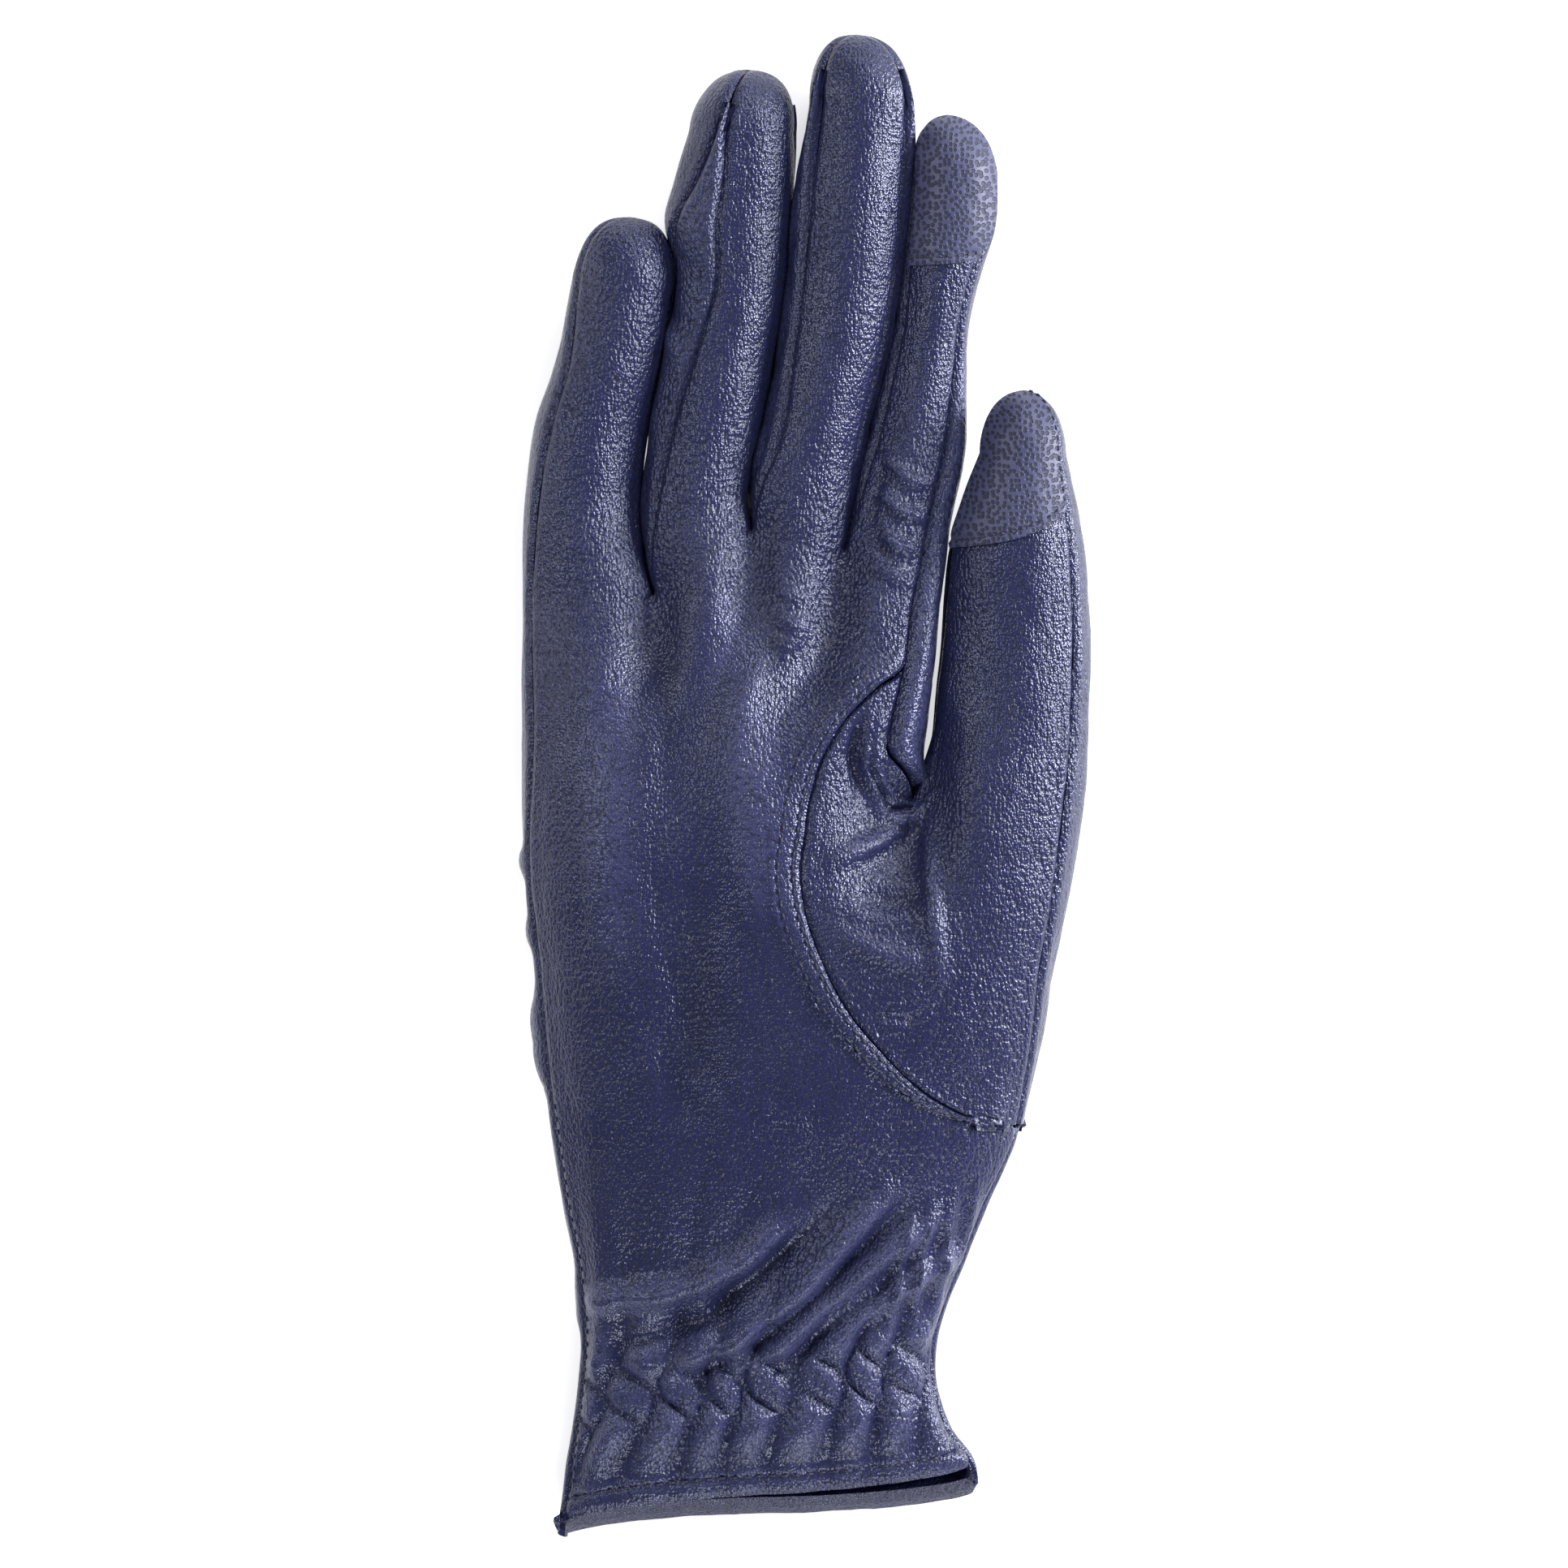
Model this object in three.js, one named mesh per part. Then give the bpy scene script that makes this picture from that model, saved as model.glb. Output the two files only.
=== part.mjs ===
// A right-hand riding glove of thin leather that lies on its back, palm up, with its fingers along +Y
// and its thumb towards +X. Each leather piece is a thin wall, cut to the line of its seams.
import * as THREE from "three";

// Driving sizes, in millimetres
const BODY_LENGTH = 163; // edge of the cuff to the fork between ring and middle finger
const PALM_WIDTH = 68; // across the palm, below the fingers
const PALM_DEPTH = 26; // how far the filled palm stands up
const CUFF_DEPTH = 11; // the cuff lies flatter
const LITTLE_LENGTH = 62.5; // each finger is measured from its forks to its tip
const RING_LENGTH = 81.5;
const MIDDLE_LENGTH = 83.5;
const INDEX_LENGTH = 72.5;
const THUMB_LENGTH = 66.5;
const FINGER_DEPTH = 15.5;
const THUMB_DEPTH = 18;
const LEATHER = 1.2; // wall of every piece
const HEM_HEIGHT = 4; // the cuff's edge is turned in by this much
const HEM_WALL = 1.8; // two layers of pared leather
const SEAM_GAP = 0.36; // clearance between neighbouring pieces
const GATHER_HEIGHT = 1.5; // puffs between the two elastic rows at the wrist
const FOLD_HEIGHT = 2.2; // slanting folds that run from the wrist into the palm

const GATHERS = 8; // puffs across the wrist
const PALM_COLUMNS = GATHERS * 4;
const FINGER_COLUMNS = PALM_COLUMNS / 4;
const BACK_COLUMNS = 5; // of each finger, on the back
const THUMB_COLUMNS = 8;
const WEB_COLUMNS = 3; // of the thumb piece, between its long seam and the thumb's fork

const BODY_ROUNDNESS = 2.6; // of the palm's section: 2 is an ellipse, more is boxier
const BACK_ROUNDNESS = 3.3; // of its lower half, which the floor presses flat
const BODY_WAIST = 0.42; // the widest place, as a share of the depth
const FLATTENED = 0.8; // how far the round back would reach below the floor, in millimetres
const TIP_POINT = 0.8; // 1 is a half ellipse seen from the front, less is blunter

// Cross-sections of the hand, from the cuff's edge at 0 to the fork between ring and middle finger at 1.
// left and right are shares of the palm's width, fullness goes from the cuff's depth to the palm's.
const BODY = [
  { at: -0.02, left: 0.09, right: 1.111, fullness: 0 },
  { at: 0.021, left: 0.102, right: 1.111, fullness: 0.04 },
  { at: 0.062, left: 0.113, right: 1.098, fullness: 0.14 },
  { at: 0.095, left: 0.127, right: 1.043, fullness: 0.26 },
  { at: 0.144, left: 0.143, right: 1.008, fullness: 0.32 },
  { at: 0.193, left: 0.148, right: 1.016, fullness: 0.42 },
  { at: 0.267, left: 0.129, right: 1.082, fullness: 0.62 },
  { at: 0.316, left: 0.105, right: 1.129, fullness: 0.74 },
  { at: 0.402, left: 0.072, right: 1.211, fullness: 0.88 },
  { at: 0.496, left: 0.047, right: 1.176, fullness: 0.97 },
  { at: 0.554, left: 0.035, right: 1.141, fullness: 1 },
  { at: 0.636, left: 0.014, right: 1.082, fullness: 1 },
  { at: 0.685, left: 0.006, right: 1.025, fullness: 0.98 },
  { at: 0.73, left: 0.004, right: 0.95, fullness: 0.95 },
  { at: 0.799, left: 0.002, right: 0.975, fullness: 0.9 },
  { at: 0.857, left: 0, right: 1, fullness: 0.84 },
  { at: 0.934, left: 0, right: 1.018, fullness: 0.72 },
  { at: 1, left: 0, right: 1.027, fullness: 0.62 },
];

// Rows of the palm piece, from the cuff's edge to the fingers. left is where a row starts on the little
// finger's side and right is where it ends, both as shares of the body's length. A row without x ends on
// the side seam of the wrist. The others end at x, a share of the palm's width: on the long seam of the
// thumb up to the web row, and on the side seam of the index finger above it.
const PALM_ROWS = [
  { left: 0, right: 0.057 },
  { left: 0.0245, right: 0.0815 },
  { left: 0.052, right: 0.102 },
  { left: 0.075, right: 0.12 },
  { left: 0.095, right: 0.138 },
  { left: 0.111, right: 0.154 },
  { left: 0.128, right: 0.17 },
  { left: 0.144, right: 0.185 },
  { left: 0.175, right: 0.212 },
  { left: 0.212, right: 0.246 },
  { left: 0.255, right: 0.286 },
  { left: 0.305, right: 0.33 },
  { left: 0.36, right: 0.37 },
  { left: 0.408, right: 0.398 },
  { left: 0.43, right: 0.402, x: 1.146 },
  { left: 0.45, right: 0.414, x: 1.059 },
  { left: 0.472, right: 0.439, x: 0.961 },
  { left: 0.497, right: 0.48, x: 0.863 },
  { left: 0.53, right: 0.521, x: 0.785 },
  { left: 0.573, right: 0.57, x: 0.727 },
  { left: 0.62, right: 0.619, x: 0.688 },
  { left: 0.668, right: 0.668, x: 0.678 },
  { left: 0.717, right: 0.73, x: 0.7 },
  { left: 0.763, right: 0.772, x: 0.731 },
  { left: 0.803, right: 0.808, x: 0.785 },
  { left: 0.839, right: 0.84, x: 0.863 },
  { left: 0.87, right: 0.863, x: 0.932 },
  { left: 0.903, right: 0.914, x: 0.949 },
  { left: 0.934, right: 0.963, x: 0.971 },
];
const STITCH_ROWS = [4, 7]; // the palm rows that the elastic is sewn along
const CORNER_ROW = 13; // where the side seam of the wrist meets the thumb
const FORK_ROW = 22; // where the thumb leaves the hand
const WEB_ROW = 26; // where the long seam of the thumb ends below the index finger
const TOP_ROW = PALM_ROWS.length - 1;

// Where the back piece ends on the thumb's side, for rows of the palm piece: degrees round the hand
const BACK_EDGE = [
  { at: 0, angle: 12 },
  { at: 12, angle: 12 },
  { at: 13, angle: 8 },
  { at: 15, angle: -30 },
  { at: 18, angle: -50 },
  { at: 20, angle: -42 },
  { at: 21, angle: -20 },
  { at: 22, angle: 4 },
  { at: 23, angle: 38 },
  { at: 24, angle: 40 },
  { at: 25, angle: 38 },
  { at: 26, angle: 31 },
  { at: 27, angle: 33 },
  { at: 28, angle: 37 },
];

// The places between the fingers: x is a share of the palm's width, y of the body's length, and front
// and back are heights as shares of the fingers' depth.
const FORKS = [
  undefined,
  { x: 0.326, y: 0.934, front: 0.92, back: 0.24 },
  { x: 0.561, y: 1, front: 0.94, back: 0.24 },
  { x: 0.785, y: 0.98, front: 0.9, back: 0.24 },
  undefined,
];

// Sections of each finger from its forks at 0 towards its tip at 1. left and right are shares of the
// palm's width. leftSeam and rightSeam are where the front piece ends, in degrees round the finger.
// Heights and depths are shares of the fingers' depth.
const LITTLE = {
  length: LITTLE_LENGTH, leftFork: 0, y: 0.934, slope: 0, tip: 0.264,
  sections: [
    { at: 0, left: 0, right: 0.322, leftSeam: 148, rightSeam: 30, height: 0.58, depth: 0.58 },
    { at: 0.139, left: 0.004, right: 0.287, leftSeam: 143, rightSeam: 22, height: 0.58, depth: 0.55 },
    { at: 0.288, left: 0.014, right: 0.287, leftSeam: 140, rightSeam: 14, height: 0.57, depth: 0.52 },
    { at: 0.459, left: 0.037, right: 0.309, leftSeam: 135, rightSeam: 10, height: 0.56, depth: 0.5 },
    { at: 0.609, left: 0.082, right: 0.342, leftSeam: 138, rightSeam: 10, height: 0.56, depth: 0.5 },
    { at: 0.833, left: 0.125, right: 0.371, leftSeam: 152, rightSeam: 8, height: 0.57, depth: 0.47 },
  ],
};
const RING = {
  length: RING_LENGTH, leftFork: 1, y: 0.967, slope: 0.67, tip: 0.555,
  sections: [
    { at: 0, left: 0.33, right: 0.557, leftSeam: 148, rightSeam: 32, height: 0.6, depth: 0.6 },
    { at: 0.09, left: 0.303, right: 0.545, leftSeam: 139, rightSeam: 26, height: 0.6, depth: 0.57 },
    { at: 0.269, left: 0.32, right: 0.588, leftSeam: 130, rightSeam: 14, height: 0.57, depth: 0.54 },
    { at: 0.416, left: 0.354, right: 0.617, leftSeam: 119, rightSeam: 6, height: 0.54, depth: 0.52 },
    { at: 0.571, left: 0.381, right: 0.645, leftSeam: 107, rightSeam: -4, height: 0.53, depth: 0.5 },
    { at: 0.693, left: 0.35, right: 0.657, leftSeam: 100, rightSeam: -10, height: 0.53, depth: 0.49 },
    { at: 0.775, left: 0.373, right: 0.662, leftSeam: 100, rightSeam: -12, height: 0.53, depth: 0.48 },
    { at: 0.873, left: 0.406, right: 0.662, leftSeam: 106, rightSeam: -10, height: 0.54, depth: 0.46 },
  ],
};
const MIDDLE = {
  length: MIDDLE_LENGTH, leftFork: 2, y: 0.99, slope: -0.21, tip: 0.818,
  sections: [
    { at: 0, left: 0.566, right: 0.779, leftSeam: 146, rightSeam: 32, height: 0.6, depth: 0.6 },
    { at: 0.108, left: 0.559, right: 0.803, leftSeam: 130, rightSeam: 26, height: 0.61, depth: 0.57 },
    { at: 0.187, left: 0.583, right: 0.824, leftSeam: 126, rightSeam: 24, height: 0.61, depth: 0.55 },
    { at: 0.347, left: 0.627, right: 0.877, leftSeam: 140, rightSeam: 22, height: 0.6, depth: 0.53 },
    { at: 0.506, left: 0.655, right: 0.912, leftSeam: 142, rightSeam: 22, height: 0.59, depth: 0.52 },
    { at: 0.666, left: 0.672, right: 0.936, leftSeam: 141, rightSeam: 24, height: 0.58, depth: 0.51 },
    { at: 0.865, left: 0.701, right: 0.951, leftSeam: 141, rightSeam: 28, height: 0.57, depth: 0.48 },
  ],
};
const INDEX = {
  length: INDEX_LENGTH, leftFork: 3, y: 0.972, slope: -0.1, tip: 1.037,
  sections: [
    { at: 0, left: 0.791, right: 1.02, leftSeam: 148, rightSeam: 54, height: 0.58, depth: 0.57 },
    { at: 0.092, left: 0.81, right: 1.026, leftSeam: 147, rightSeam: 48, height: 0.57, depth: 0.53 },
    { at: 0.239, left: 0.838, right: 1.052, leftSeam: 147, rightSeam: 40, height: 0.54, depth: 0.5 },
    { at: 0.35, left: 0.867, right: 1.062, leftSeam: 147, rightSeam: 38, height: 0.52, depth: 0.49 },
    { at: 0.46, left: 0.897, right: 1.076, leftSeam: 148, rightSeam: 38, height: 0.51, depth: 0.48 },
    { at: 0.534, left: 0.915, right: 1.088, leftSeam: 150, rightSeam: 42, height: 0.51, depth: 0.48 },
    { at: 0.663, left: 0.931, right: 1.124, leftSeam: 152, rightSeam: 40, height: 0.51, depth: 0.47 },
    { at: 0.755, left: 0.943, right: 1.152, leftSeam: 154, rightSeam: 22, height: 0.51, depth: 0.46 },
    { at: 0.875, left: 0.957, right: 1.15, leftSeam: 157, rightSeam: 12, height: 0.52, depth: 0.45 },
  ],
};
const FINGERS = [LITTLE, RING, MIDDLE, INDEX];
const SIDE_SPAN = 66; // width of a finger's side strip, in degrees round the finger
const SIDE_END = 0.93; // the strip ends at the last row of the finger below this share of it
const ROOT = 0.3; // over this share of a finger its form grows out of the palm

const BALL_START = -0.34; // how far the thumb's ball reaches into the palm

// Sections of the thumb from its fork at 0 towards its tip at 1, and of its ball in the palm, where at
// is negative and a share of the body's length. Heights and depths are shares of the thumb's depth.
const THUMB = [
  { at: BALL_START, left: 1.09, right: 1.212, height: 0.56, depth: 0.42 },
  { at: -0.283, left: 1.06, right: 1.244, height: 0.6, depth: 0.48 },
  { at: -0.234, left: 1.02, right: 1.27, height: 0.64, depth: 0.54 },
  { at: -0.176, left: 0.985, right: 1.293, height: 0.68, depth: 0.58 },
  { at: -0.094, left: 0.96, right: 1.332, height: 0.72, depth: 0.6 },
  { at: 0, left: 0.95, right: 1.365, height: 0.72, depth: 0.58 },
  { at: 0.151, left: 0.992, right: 1.375, height: 0.7, depth: 0.55 },
  { at: 0.231, left: 1.003, right: 1.377, height: 0.69, depth: 0.54 },
  { at: 0.371, left: 1.02, right: 1.381, height: 0.68, depth: 0.52 },
  { at: 0.492, left: 1.029, right: 1.377, height: 0.67, depth: 0.51 },
  { at: 0.622, left: 1.043, right: 1.367, height: 0.66, depth: 0.5 },
  { at: 0.773, left: 1.088, right: 1.342, height: 0.65, depth: 0.46 },
  { at: 0.853, left: 1.121, right: 1.324, height: 0.65, depth: 0.43 },
];
const FORK_ANGLE = 16; // of the thumb's fork, in degrees round the hand
const THUMB_TIP = 1.225; // share of the palm's width
const THUMB_SEAM = 38; // the side seam of the thumb, in degrees round it
const THUMB_INSIDE = 172; // where the thumb's front piece ends on the inside
const WEB_SHARE = 0.3; // of the thumb piece's width that lies inside the fork

// Folds of the front at the wrist, as shares of the palm's width and the body's length.
const FOLDS = [
  { x: 0.16, y: 0.226, toX: 0.658, toY: 0.308, wide: 0.05, high: 0.5 },
  { x: 0.316, y: 0.158, toX: 0.883, toY: 0.333, wide: 0.055, high: 1 },
  { x: 0.492, y: 0.164, toX: 1, toY: 0.308, wide: 0.05, high: 0.8 },
  { x: 0.707, y: 0.182, toX: 1.078, toY: 0.308, wide: 0.045, high: 0.6 },
];

const INDEX_PATCH = 0.665; // where the index finger's touch patch starts, as a share of its length
const THUMB_PATCH = 0.62;

const mix = THREE.MathUtils.lerp;
const radians = THREE.MathUtils.degToRad;
const share = (value, from, to) => THREE.MathUtils.clamp((value - from) / (to - from), 0, 1);
const ease = (t) => t * t * (3 - 2 * t);
const at = (x, y, z) => new THREE.Vector3(x, y, z);
const onFloor = (point) => point.setZ(Math.max(point.z, 0));

// Reads a column of a table between its rows, on a smooth curve through them.
function read(table, column, place) {
  const last = table.length - 1;
  const found = table.findIndex((row) => row.at > place);
  const i = found < 0 ? last - 1 : Math.max(found - 1, 0);
  const slope = (k) => {
    const before = table[Math.max(k - 1, 0)];
    const after = table[Math.min(k + 1, last)];
    return (after[column] - before[column]) / (after.at - before.at);
  };
  const width = table[i + 1].at - table[i].at;
  const t = share(place, table[i].at, table[i + 1].at);
  const t2 = t * t;
  const t3 = t2 * t;
  return (
    (2 * t3 - 3 * t2 + 1) * table[i][column] +
    (t3 - 2 * t2 + t) * width * slope(i) +
    (3 * t2 - 2 * t3) * table[i + 1][column] +
    (t3 - t2) * width * slope(i + 1)
  );
}

// A closed section: across goes from -1 to 1, up from -1 to 1.
function around(angle, roundness) {
  const power = 2 / roundness;
  const c = Math.cos(radians(angle));
  const s = Math.sin(radians(angle));
  return { across: Math.sign(c) * Math.abs(c) ** power, up: Math.sign(s) * Math.abs(s) ** power };
}

// The hand without fingers and thumb
function bodySection(along) {
  const left = read(BODY, "left", along) * PALM_WIDTH;
  const right = read(BODY, "right", along) * PALM_WIDTH;
  const depth = mix(CUFF_DEPTH, PALM_DEPTH, read(BODY, "fullness", along));
  return { middle: (left + right) / 2, half: (right - left) / 2, depth, waist: depth * BODY_WAIST };
}

function bodyPoint(angle, along) {
  const s = bodySection(along);
  const { across, up } = around(angle, Math.sin(radians(angle)) > 0 ? BODY_ROUNDNESS : BACK_ROUNDNESS);
  const height = up > 0 ? up * (s.depth - s.waist) : up * (s.waist + FLATTENED);
  return onFloor(at(s.middle + across * s.half, along * BODY_LENGTH, s.waist + height));
}

// The angle at which the front of the hand has a place across.
function angleAt(x, along) {
  const s = bodySection(along);
  const across = THREE.MathUtils.clamp((x * PALM_WIDTH - s.middle) / s.half, -1, 1);
  const c = Math.sign(across) * Math.abs(across) ** (BODY_ROUNDNESS / 2);
  return THREE.MathUtils.radToDeg(Math.acos(c));
}

const WRIST_SEAM = 12; // degrees round the hand, on the thumb's side
const littleSeam = (along) => mix(166, LITTLE.sections[0].leftSeam, ease(share(along, 0.62, 0.934)));
const gapAngle = (radius) => THREE.MathUtils.radToDeg(SEAM_GAP / 2 / radius);

const ROW_ENDS = PALM_ROWS.map(({ left, right, x }, row) => ({
  at: row,
  left,
  right,
  angle: x === undefined ? WRIST_SEAM : angleAt(x, right),
}));

// A row of the hand's surface, between two angles and two places along, by its length from one end.
function strip(from, to, alongFrom, alongTo, part) {
  const steps = 40;
  const spots = [];
  const run = [0];
  for (let i = 0; i <= steps; i++) {
    const t = i / steps;
    spots.push(bodyPoint(mix(from, to, t), mix(alongFrom, alongTo, t)));
    if (i > 0) run.push(run[i - 1] + spots[i].distanceTo(spots[i - 1]));
  }
  const goal = part * run[steps];
  const i = Math.min(Math.max(run.findIndex((r) => r > goal) - 1, 0), steps - 1);
  const start = part >= 1 ? steps - 1 : i;
  const t = (goal - run[start]) / (run[start + 1] - run[start]);
  const place = (start + t) / steps;
  return bodyPoint(mix(from, to, place), mix(alongFrom, alongTo, place));
}

// Fingers
function fingerSection(finger, v) {
  const { sections, tip, length } = finger;
  const last = sections[sections.length - 1].at;
  const t = Math.min(v, last);
  const left = read(sections, "left", t) * PALM_WIDTH;
  const right = read(sections, "right", t) * PALM_WIDTH;
  const dome = v > last ? Math.asin(Math.min((v - last) / (1 - last), 1)) : 0;
  const width = ((right - left) / 2) * Math.cos(dome) ** TIP_POINT;
  const depth = read(sections, "depth", t) * FINGER_DEPTH * Math.cos(dome);
  const lean = v > last ? (v - last) / (1 - last) : 0;
  return {
    middle: mix((left + right) / 2, tip * PALM_WIDTH, lean),
    width,
    depth,
    height: read(sections, "height", t) * FINGER_DEPTH,
    y: finger.y * BODY_LENGTH + v * length,
    slope: finger.slope * (1 - ease(share(v, 0, ROOT))),
    leftSeam: read(sections, "leftSeam", t),
    rightSeam: read(sections, "rightSeam", t),
    side: SIDE_SPAN * (1 - ease(share(v, 0.5, 1))),
    gap: gapAngle(Math.min(width, depth)),
  };
}

function fingerPoint(s, angle) {
  const c = Math.cos(radians(angle));
  const x = s.middle + s.width * c;
  return at(x, s.y + s.slope * s.width * c, s.height + s.depth * Math.sin(radians(angle)));
}

function forkPoint(fork, level) {
  const { x, y } = FORKS[fork];
  return at(x * PALM_WIDTH, y * BODY_LENGTH, FORKS[fork][level] * FINGER_DEPTH);
}

// Moves a finger's root so that its edges meet the forks, and lets that fade towards the tip.
function rooted(finger, angles, v, c, level) {
  const root = fingerSection(finger, 0);
  const now = fingerSection(finger, v);
  const point = fingerPoint(now, mix(...angles(now), c));
  const [first, second] = level === "front" ? [0, 1] : [1, 0];
  const fade = 1 - ease(share(v, 0, ROOT));
  [first, second].forEach((side, end) => {
    const fork = finger.leftFork + side;
    if (FORKS[fork] === undefined) return;
    const move = forkPoint(fork, level).sub(fingerPoint(root, angles(root)[end]));
    point.addScaledVector(move, fade * (end === 0 ? 1 - c : c));
  });
  return point;
}

const frontAngles = (s) => [s.leftSeam - s.gap, s.rightSeam + s.gap];
const fingerFront = (finger, v, c) => rooted(finger, frontAngles, v, c, "front");

// The back piece of a finger runs from its right side, under it, to its left side. The two outer
// fingers have no side strip on the outside, where front and back are sewn together.
function fingerBack(finger, v, c) {
  const angles = (s) => [
    s.rightSeam - (finger === INDEX ? 0 : s.side) - s.gap,
    s.leftSeam + (finger === LITTLE ? 0 : s.side) + s.gap - 360,
  ];
  return onFloor(rooted(finger, angles, v, c, "back"));
}

// The side wall of a finger from the back seam at 0 to the front seam at 1
function fingerSide(finger, side, v, c) {
  const angles = (s) =>
    side > 0
      ? [s.rightSeam - s.side + s.gap, s.rightSeam - s.gap]
      : [s.leftSeam + s.side - s.gap, s.leftSeam + s.gap];
  const root = fingerSection(finger, 0);
  const now = fingerSection(finger, v);
  const fork = finger.leftFork + (side > 0 ? 1 : 0);
  const below = forkPoint(fork, "back");
  const above = forkPoint(fork, "front");
  const clear = LEATHER + SEAM_GAP;
  const line = at(above.x - side * SEAM_GAP, above.y, mix(below.z + clear, above.z - clear, c));
  const move = line.sub(fingerPoint(root, mix(...angles(root), c)));
  const fade = 1 - ease(share(v, 0, ROOT));
  return fingerPoint(now, mix(...angles(now), c)).addScaledVector(move, fade);
}

// Relief of the front: puffs between the elastic's stitch rows, flutes below them, folds above
function gathers(row, c) {
  const [low, high] = STITCH_ROWS;
  const sides = ease(share(c, 0, 1 / GATHERS)) * ease(share(1 - c, 0, 1 / GATHERS));
  const wave = (shift) => Math.cos(2 * Math.PI * (GATHERS * c + shift));
  const pinch = Math.exp(-(((row - low) / 0.6) ** 2)) + Math.exp(-(((row - high) / 0.6) ** 2));
  let height = -0.6 * pinch;
  if (row > high) {
    const fade = ease(share(row, high, high + 0.8)) * (1 - ease(share(row, high + 0.8, high + 4)));
    height += 0.6 * fade * wave(0.15 * (high - row));
  } else if (row > low) {
    const t = share(row, low, high);
    height += Math.sin(Math.PI * t) * (0.4 + 0.6 * wave(0.5 + 0.35 * (1 - t)));
  } else {
    const t = share(row, 0, low);
    height += ease(share(1 - t, 0, 0.35)) * t ** 0.6 * (0.3 + 0.7 * wave(0.1 * (1 - t)));
  }
  return GATHER_HEIGHT * height * sides;
}

function folds(point) {
  const x = point.x / PALM_WIDTH;
  const y = point.y / BODY_LENGTH;
  let height = 0;
  for (const fold of FOLDS) {
    const run = at(fold.toX - fold.x, fold.toY - fold.y, 0);
    const from = at(x - fold.x, y - fold.y, 0);
    const t = THREE.MathUtils.clamp(from.dot(run) / run.lengthSq(), 0, 1);
    const off = from.addScaledVector(run, -t).length() / fold.wide;
    height += fold.high * Math.sin(Math.PI * (0.12 + 0.76 * t)) * Math.exp(-3 * off * off);
  }
  return FOLD_HEIGHT * height;
}

// How far a column of the front or the back has come along the row where the fingers start
function rootShares(count, point) {
  const run = [0];
  let last = point(0);
  for (let i = 1; i <= count; i++) {
    const next = point(i / count);
    run.push(run[i - 1] + Math.abs(next.x - last.x) + 0.3 * Math.abs(next.z - last.z));
    last = next;
  }
  return run.map((r) => r / run[count]);
}

const frontRoot = (c) => {
  const i = Math.min(Math.floor(c * 4), 3);
  return fingerFront(FINGERS[i], 0, c * 4 - i);
};
const backRoot = (c) => {
  const i = Math.min(Math.floor(c * 4), 3);
  return fingerBack(FINGERS[3 - i], 0, c * 4 - i);
};
const frontShares = rootShares(PALM_COLUMNS, frontRoot);
const backShares = rootShares(BACK_COLUMNS * 4, backRoot);

function shareOf(shares, c) {
  const place = c * (shares.length - 1);
  const i = Math.min(Math.floor(place), shares.length - 2);
  return mix(shares[i], shares[i + 1], place - i);
}

const ROOT_FADE = 6; // rows over which the palm's form turns into the fingers' roots

function palmPoint(row, c) {
  const alongLeft = read(ROW_ENDS, "left", row);
  const start = littleSeam(alongLeft) - gapAngle(PALM_DEPTH / 2);
  const end = read(ROW_ENDS, "angle", row) + gapAngle(PALM_WIDTH / 3);
  const even = ease(share(row, CORNER_ROW - 3, FORK_ROW));
  const part = mix(c, shareOf(frontShares, c), even);
  const point = strip(start, end, alongLeft, read(ROW_ENDS, "right", row), part);
  point.z += gathers(row, c) + folds(point);
  const fade = ease(share(row, TOP_ROW - ROOT_FADE, TOP_ROW));
  if (fade === 0) return point;
  const top = ROW_ENDS[TOP_ROW];
  const topStart = littleSeam(top.left) - gapAngle(PALM_DEPTH / 2);
  const topEnd = top.angle + gapAngle(PALM_WIDTH / 3);
  const flat = strip(topStart, topEnd, top.left, top.right, shareOf(frontShares, c));
  return point.addScaledVector(frontRoot(c).sub(flat), fade);
}

function backPoint(row, c) {
  const alongLeft = read(ROW_ENDS, "left", row);
  const along = read(ROW_ENDS, "right", row);
  const start = read(BACK_EDGE, "angle", row) - gapAngle(PALM_DEPTH / 2);
  const end = littleSeam(alongLeft) + gapAngle(PALM_DEPTH / 2) - 360;
  const point = strip(start, end, along, alongLeft, shareOf(backShares, c));
  const fade = ease(share(row, TOP_ROW - ROOT_FADE, TOP_ROW));
  if (fade === 0) return point;
  const top = ROW_ENDS[TOP_ROW];
  const topStart = BACK_EDGE[BACK_EDGE.length - 1].angle - gapAngle(PALM_DEPTH / 2);
  const topEnd = littleSeam(top.left) + gapAngle(PALM_DEPTH / 2) - 360;
  const flat = strip(topStart, topEnd, top.right, top.left, shareOf(backShares, c));
  return onFloor(point.addScaledVector(backRoot(c).sub(flat), fade));
}

// Thumb
const FORK_ALONG = ROW_ENDS[FORK_ROW].right;

function thumbSection(v) {
  const last = THUMB[THUMB.length - 1].at;
  const t = Math.min(v, last);
  const left = read(THUMB, "left", t) * PALM_WIDTH;
  const right = read(THUMB, "right", t) * PALM_WIDTH;
  const lean = v > last ? Math.min((v - last) / (1 - last), 1) : 0;
  const dome = Math.cos(Math.asin(lean));
  const width = ((right - left) / 2) * dome ** TIP_POINT;
  const depth = read(THUMB, "depth", t) * THUMB_DEPTH * dome;
  return {
    middle: mix((left + right) / 2, THUMB_TIP * PALM_WIDTH, lean),
    width,
    depth,
    height: read(THUMB, "height", t) * THUMB_DEPTH,
    y: FORK_ALONG * BODY_LENGTH + v * (v > 0 ? THUMB_LENGTH : BODY_LENGTH),
    slope: 0,
    gap: gapAngle(Math.min(width, depth)),
  };
}

const ballPlace = (row) => Math.max(read(ROW_ENDS, "right", row) - FORK_ALONG, BALL_START);

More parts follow.
